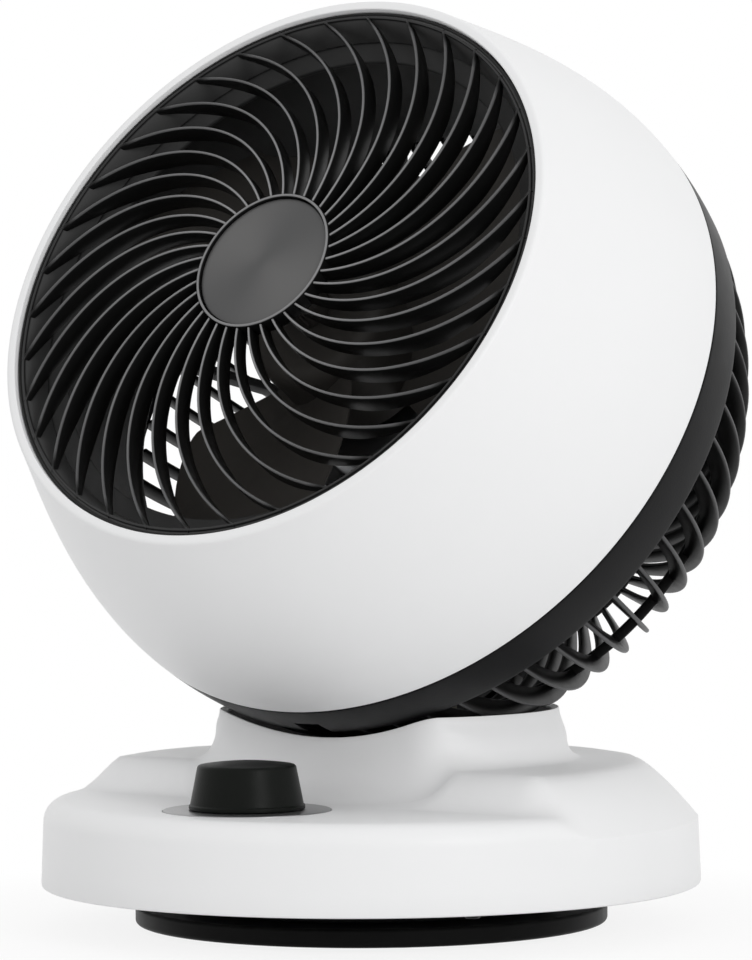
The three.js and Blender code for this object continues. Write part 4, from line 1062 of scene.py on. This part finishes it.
# The cover's deck, dome and neck are one skin
coverSettings = {
    "radius": 120.3,
    "bottom": 15.7,
    "draft": 0.9,
    "skirtTop": 39.4,
    "deck": 47.4,
    "dome": 60.1,
    "deckRim": 8.0,
    "domeRim": 22.0,
    "domeBend": 1.3,
    "deckEdge": -43.0,
    "deckSlope": 14.0,
    "neckRadius": 62.4,
    "neckFront": 42.1,
    "neckCorner": 6.0,
    "flare": 2.8,
    "fillet": 5.5,
    "frontSweep": 12.8,
    "saddle": 134.5,
    "liner": 3.0,
    "ledge": 4.5,
    "edge": 0.8,
    "wall": 2.6,
    "glandHeight": 28.0,
    "glandHole": 6.3,
    "shaftHole": 4.9,
    "dialRecess": 30.0,
    "dialFloor": 46.4,
    "boltHole": 4.6,
}


def plateau(x, y, c=coverSettings):
    reach = math.hypot(x, y)
    top = c["radius"] - c["draft"]

    def fall(width, bend, power, height):
        along = min(1, max(0, (reach - top + width) / width))
        return c["skirtTop"] + (height - c["skirtTop"]) * (1 - along ** bend) ** power

    deck = fall(c["deckRim"], 2, 0.5, c["deck"])
    dome = fall(c["domeRim"], c["domeBend"], 1, c["dome"])
    return mix(deck, dome, smooth((y - c["deckEdge"]) / c["deckSlope"]))


def saddleAt(x, y, radius):
    return centreZ - math.sqrt(radius ** 2 - x ** 2 - (y - centreY) ** 2)


# The neck's outline about the ball's axis: a round cut flat in front
def neckReach(angle, offset, c=coverSettings):
    circle = c["neckRadius"] + offset
    flat = (c["neckFront"] + offset) / max(-math.sin(angle), 0.05)
    share = min(1, max(0, 0.5 + 0.5 * (flat - circle) / c["neckCorner"]))
    return mix(flat, circle, share) - c["neckCorner"] * share * (1 - share)


# From the ball's axis out to a circle about the base's own axis
def rimReach(angle, radius):
    sine = centreY * math.sin(angle)
    return -sine + math.sqrt(sine ** 2 - centreY ** 2 + radius ** 2)


# One spoke of the cover's skin, from the saddle's edge out to the rim and back in underneath
def coverSpoke(angle, c=coverSettings):
    def at(reach, height):
        x, y = reach * math.cos(angle), centreY + reach * math.sin(angle)
        return x, y, height(x, y) if callable(height) else height

    def rim(radius, height):
        return at(rimReach(angle, radius), height)

    def saddle(x, y):
        return saddleAt(x, y, c["saddle"])

    def seat(x, y):
        return saddleAt(x, y, c["saddle"] + c["liner"] + 2 * headSizes["gap"])

    wall, edge = c["wall"], c["edge"]
    radius, bottom, skirtTop = c["radius"], c["bottom"], c["skirtTop"]
    facing = smooth((-math.sin(angle) - 0.35) / 0.45)
    sweep = mix(c["fillet"], c["frontSweep"], facing)
    topReach = neckReach(angle, 0)
    wallReach = topReach + c["flare"] * (1 - facing)
    footReach = wallReach + sweep
    foot = at(footReach, plateau)[2]
    top = at(topReach, saddle)[2]
    rise = min(1.3 * sweep, 0.62 * (top - foot))
    spoke = [at(topReach - edge, saddle), at(topReach - edge * 0.3, lambda x, y: saddle(x, y) - edge * 0.3)]
    for n in range(6):
        share = n / 5
        spoke.append(at(mix(topReach, wallReach, smooth(share)), mix(top - edge, foot + rise, share)))
    for n in range(1, 13):
        turn = math.pi / 2 * n / 12
        spoke.append(at(footReach - sweep * math.cos(turn), foot + rise * (1 - math.sin(turn))))
    shoulder = radius - c["draft"]
    rimStart = rimReach(angle, shoulder - c["deckRim"])
    for n in range(1, 15):
        spoke.append(at(mix(footReach, rimStart, n / 14), plateau))
    for n in range(1, 11):
        along = math.sin(math.pi / 2 * n / 10)
        spoke.append(rim(shoulder - c["deckRim"] * (1 - along), plateau))
    for share in (0.3, 0.7, 1):
        spoke.append(rim(shoulder + c["draft"] * share, mix(skirtTop, bottom + 1.2, share)))
    spoke += [rim(radius - 0.25, bottom + 0.35), rim(radius - 0.9, bottom), rim(radius - wall, bottom)]
    spoke.append(rim(shoulder - wall, skirtTop - wall))
    innerStart = rimReach(angle, shoulder - wall - c["deckRim"])
    for n in range(6):
        spoke.append(at(mix(innerStart, footReach - wall, n / 5), lambda x, y: plateau(x, y) - wall))
    inside, ledge = neckReach(angle, -wall), neckReach(angle, -wall - c["ledge"])
    spoke += [at(ledge, foot - wall), at(ledge, seat), at(inside, seat), at(inside, saddle)]
    return spoke


def glandPlace(turn):
    back = Matrix.Translation((0, coverSettings["radius"], coverSettings["glandHeight"]))
    return back @ Matrix.Rotation(turn, 4, "X")


def baseCover(settings):
    rays = 288
    spokes = [coverSpoke(2 * math.pi * n / rays) for n in range(rays)]
    recess = moved(bar(settings["dialRecess"], settings["dialFloor"], 52, 160), knobAcross)
    shaftHole = moved(bar(settings["shaftHole"], 40, 52, 64), knobAcross)
    glandHole = moved(bar(settings["glandHole"], -16, 16, 64), glandPlace(math.pi / 2))
    cover = carve(solid("baseCover", skin(spokes, closed=True)), recess, shaftHole, glandHole)
    deliver(cover, basePlace, "white", "base", ["base_cover"], 34)


def saddleLiner(settings):
    inset = -settings["wall"] - headSizes["gap"]
    rays = 144
    radius = settings["saddle"] + headSizes["gap"]
    shares = [0.004, 0.15, 0.3, 0.45, 0.6, 0.75, 0.9, 0.985, 1]  # of the way from the middle to the edge
    rings = []
    for depth, order in ((0, shares), (settings["liner"], shares[::-1])):
        for share in order:
            ring = []
            for n in range(rays):
                angle = 2 * math.pi * n / rays
                reach = share * neckReach(angle, inset)
                x, y = reach * math.cos(angle), centreY + reach * math.sin(angle)
                ring.append((x, y, saddleAt(x, y, radius + depth)))
            rings.append(ring)
    hole = moved(bar(settings["boltHole"], 120, 150, 64), inMillimetres.inverted() @ clampPlace)
    liner = carve(solid("saddleLiner", skin(rings)), hole)
    deliver(liner, basePlace, "liner", "base", ["saddle_liner"])


knobSettings = {"bottom": 48.0, "height": 15.4, "radius": 20.5, "top": 17.3, "dome": 1.4, "flange": 1.3}


def speedKnob(settings):
    bottom = settings["bottom"]
    top = bottom + settings["height"]
    radius = settings["radius"]
    corners = [
        (3.3, bottom, 0), (radius, bottom, 0.3), (radius, bottom + settings["flange"], 0.4),
        (radius - 0.55, bottom + settings["flange"] + 0.5, 0.3), (settings["top"], top, 1.3),
    ]
    for share in (0.85, 0.7, 0.5, 0.25):
        corners.append((settings["top"] * share, top + settings["dome"] * (1 - share ** 2), 0))
    corners.append((0, top + settings["dome"], 0))
    form = turnedForm(corners + [(0, 59.1, 0), (3.3, 59.1, 0)], 192, closed=False, steps=5)
    piece("speedKnob", form, basePlace @ knobAcross, "knob", "knob", ["speed_knob"])


dialSettings = {"hole": 4.9, "radius": 29.7, "bottom": 46.7, "top": 47.7}


def dialPlate(settings):
    hole, radius, bottom, top = [settings[part] for part in ("hole", "radius", "bottom", "top")]
    corners = [(hole, bottom, 0.1), (radius, bottom, 0.15), (radius, top, 0.35), (hole, top, 0.2)]
    form = turnedForm(corners, 200)
    piece("dialPlate", form, basePlace @ knobAcross, "dial", "base", ["dial_plate"])


footSettings = {
    "radius": 86.2,
    "bottom": 1.5,
    "top": 8.2,
    "hub": 68.0,
    "hubTop": 13.4,
    "bore": 8.3,
    "padCircle": 64.2,
    "pad": 9,
    "centrePad": 18,
    "padTop": 1.2,
}
panSettings = {
    "rim": 116.7,
    "bottom": 15.7,
    "top": 18.2,
    "bore": 8.6,
    "collar": 12.6,
    "collarTop": 24.2,
    "screwHole": 2.2,
    "screwCircle": 105.5,
    "screwAngles": (35, 145, 215, 325),
}


def footPlate(settings):
    radius, bottom, top = settings["radius"], settings["bottom"], settings["top"]
    hub, hubTop, bore = settings["hub"], settings["hubTop"], settings["bore"]
    form = turnedForm([
        (bore, bottom + 2.3, 0.2), (14.3, bottom + 2.3, 0.2), (14.3, bottom, 0.3), (radius, bottom, 1.6),
        (radius, top, 1.2), (hub, top, 0.8), (hub, hubTop, 0.6), (bore, hubTop, 0.3),
    ], 240, steps=6)
    piece("footPlate", form, basePlace, "foot", "foot", ["foot_plate"])


def rubberPad(radius, top, rounding, segments):
    corners = [(0, 0, 0), (radius, 0, rounding), (radius, top, 0.2), (0, top, 0)]
    return turnedForm(corners, segments, closed=False)


def rubberFeet(settings):
    pad = rubberPad(settings["pad"], settings["padTop"], 0.35, 64)
    groove = lathe([(6.2, -1), (6.8, -1), (6.8, 0.35), (6.2, 0.35)], 64)
    form = formOf(carve(solid("pad", pad), groove), Matrix.Translation((settings["padCircle"], 0, 0)))
    feet = grown("rubberFeet", copiesTree, evenRing(4, 45.0), "rubber", form)
    deliver(feet, basePlace, "rubber", "foot", [f"rubber_foot_{n}" for n in (1, 2, 3, 4)])
    middle = rubberPad(settings["centrePad"], settings["padTop"], 0.4, 96)
    piece("centrePad", middle, basePlace, "rubber", "foot", ["centre_pad"])


def basePan(settings):
    rim, bottom, top = settings["rim"], settings["bottom"], settings["top"]
    bore, collar, collarTop = settings["bore"], settings["collar"], settings["collarTop"]
    plate = turnedForm([
        (bore, bottom, 0.3), (70, bottom, 0), (rim, bottom, 0.5), (rim, top, 0.3), (collar, top, 0.5),
        (collar, collarTop, 0.4), (bore, collarTop, 0.4),
    ], 240)
    hole = bar(settings["screwHole"], 15, 19, 32)
    circle, angles = settings["screwCircle"], settings["screwAngles"]
    holes = [moved(hole, setOut(circle, math.radians(angle))) for angle in angles]
    pan = carve(solid("basePan", plate), together(*holes))
    deliver(pan, basePlace, "white", "base", ["base_pan"])


screwSettings = {
    "shaft": 1.8,
    "head": 3.6,
    "headTop": -2,
    "crossLong": 1.7,
    "crossWide": 0.4,
    "crossFloor": -1.1,
}


# A screw with a cross recess, to be copied round
def screwForm(length, offset, downwards, s=screwSettings):
    shaft, head, top = s["shaft"], s["head"], s["headTop"]
    body = turnedForm([
        (0, top, 0), (2.4, top, 0.3), (head, -0.5, 0.5), (head, 0, 0.2), (shaft, 0, 0), (shaft, length, 0.4),
        (0, length, 0),
    ], 32, closed=False)
    bars = []
    for halfX, halfY in ((s["crossLong"], s["crossWide"]), (s["crossWide"], s["crossLong"])):
        ring = [(-halfX, -halfY), (halfX, -halfY), (halfX, halfY), (-halfX, halfY)]
        bars.append(skin([[(x, y, z) for x, y in ring] for z in (top - 1, s["crossFloor"])]))
    flip = Matrix.Rotation(math.pi, 4, "X") if downwards else Matrix.Identity(4)
    return formOf(carve(solid("screw", body), *bars), Matrix.Translation(offset) @ flip)


def screwRing(name, form, ring, place, finish, body, node):
    made = grown(name, copiesTree, ring, finish, form)
    deliver(made, place, finish, body, [f"{node}_{n + 1}" for n in range(ring["Count"])])


def screwRings():
    first, second, third = panSettings["screwAngles"][:3]
    pairs = {"Count": 4, "First angle": float(first), "From pair to pair": float(third - first)}
    pairs["Within a pair"] = float(second - first)
    under = screwForm(16, (panSettings["screwCircle"], 0, 15.4), False)
    screwRing("panScrews", under, pairs, basePlace, "blackSteel", "base", "pan_screw")
    rear = screwForm(20, (119, 0, -10.5), False)
    screwRing("shellScrews", rear, evenRing(4, 45.0), headPlace, "steel", "head", "shell_screw")
    motor = screwForm(9, (40.6, 0, -14.4), True)
    screwRing("motorScrews", motor, evenRing(3, 60.0), headPlace, "steel", "head", "motor_screw")


glandSettings = {"tube": 6, "inside": -8.6, "flange": 8.5, "flangeTop": 1.8, "seat": 0.3, "nose": 7}


def cordGland(settings):
    tube, inside, flange = settings["tube"], settings["inside"], settings["flange"]
    seat, nose = settings["seat"], settings["nose"]
    form = turnedForm([
        (2.6, inside, 0.4), (tube, inside, 0.5), (tube, seat, 0.1), (flange, seat, 0.4),
        (flange, settings["flangeTop"], 0.5), (7.2, nose, 1.2), (3.6, nose, 0.6),
    ], 96)
    place = basePlace @ glandPlace(-math.pi / 2)
    piece("cordGland", form, place, "rubber", "base", ["cord_gland"])


# Solids that stay as they are and get a finish only
keptFinishes = {
    "nylon": ["swivel_gear", "swing_pinion", "slide_ring", "clamp_shoe"],
    "steel": [
        "pivot_post", "pivot_nut", "clamp_bolt", "disc_spring", "clamp_nut", "front_bearing", "rear_bearing",
        "motor_shaft", "switch_shaft", "swing_motor_screw_1", "swing_motor_screw_2",
    ],
    "motor": ["swing_motor", "ballast_plate"],
    "core": ["stator_core", "rotor_core"],
    "copper": ["front_winding", "rear_winding"],
    "board": ["control_board"],
    "capacitor": ["run_capacitor"],
    "switch": ["rotary_switch"],
}


def dressKept():
    for finish, names in keptFinishes.items():
        for name in names:
            for spot in frame["nodes"][name].material_slots:
                spot.material = finishes[finish]


frontShell()
frontGrille(grilleSettings)
badgeDisc(grilleSettings)
print("front made")
airDuct(ductSettings)
motorCases(motorSettings)
fanWheel(wheelSettings)
print("fan made")
rearGuard(guardSettings)
rearCap(guardSettings)
print("guard made")
baseCover(coverSettings)
saddleLiner(coverSettings)
speedKnob(knobSettings)
dialPlate(dialSettings)
footPlate(footSettings)
rubberFeet(footSettings)
basePan(panSettings)
screwRings()
cordGland(glandSettings)
dressKept()
print("base made")

stageSettings = {
    "floorRadius": 3.0,
    "fadeFrom": 0.12,  # metres from the middle, where the floor's shading starts to fade
    "fadeTo": 0.24,
    "shadowShare": 0.14,
    "world": 0.8,
}


def makeFloor(settings):
    floor = solid("floor", lathe([(0, 0), (settings["floorRadius"], 0), (0, 0.0001)], 96))
    floor.location.z = -0.0002
    finish = Finish("floorWhite", grey(0.86), 0.9, specular=0.1)
    x, y, _ = finish.split(finish.place)
    reach = (x ** 2 + y ** 2) ** 0.5
    fade = finish.step(reach, settings["fadeFrom"], settings["fadeTo"])
    white = finish.node("ShaderNodeEmission", sockets={"Color": (1, 1, 1, 1), "Strength": 1.0})
    lit = finish.looking() * (1 - settings["shadowShare"] * (1 - fade))
    mixed = finish.node("ShaderNodeMixShader", sockets={0: lit, 1: finish.shader.outputs[0], 2: white})
    finish.feed(finish.tree.nodes["Material Output"].inputs["Surface"], mixed)
    floor.data.materials.append(finish.material)


def makeWorld(settings):
    world = bpy.data.worlds.new("studio")
    world.use_nodes = True
    bpy.context.scene.world = world
    sheet = Sheet(world.node_tree)
    background = world.node_tree.nodes["Background"]
    background.inputs["Color"].default_value = (1, 1, 1, 1)
    dim = settings["world"]
    sheet.feed(background.inputs["Strength"], dim + (1 - dim) * sheet.looking())


# metres and watts
keySettings = {"place": (2.4, -1.0, 0.9), "aim": (0, 0, 0.16), "size": 0.9, "power": 15.5}


def makeLamp(name, settings):
    data = bpy.data.lights.new(name, "AREA")
    data.shape = "DISK"
    data.size = settings["size"]
    data.energy = settings["power"]
    lamp = objectOf(name, data)
    lamp.location = settings["place"]
    away = Vector(settings["place"]) - Vector(settings["aim"])
    lamp.rotation_euler = away.to_track_quat("Z", "Y").to_euler()


makeFloor(stageSettings)
makeWorld(stageSettings)
makeLamp("key", keySettings)
bpy.context.scene.view_settings.view_transform = "Standard"
print("stage made")
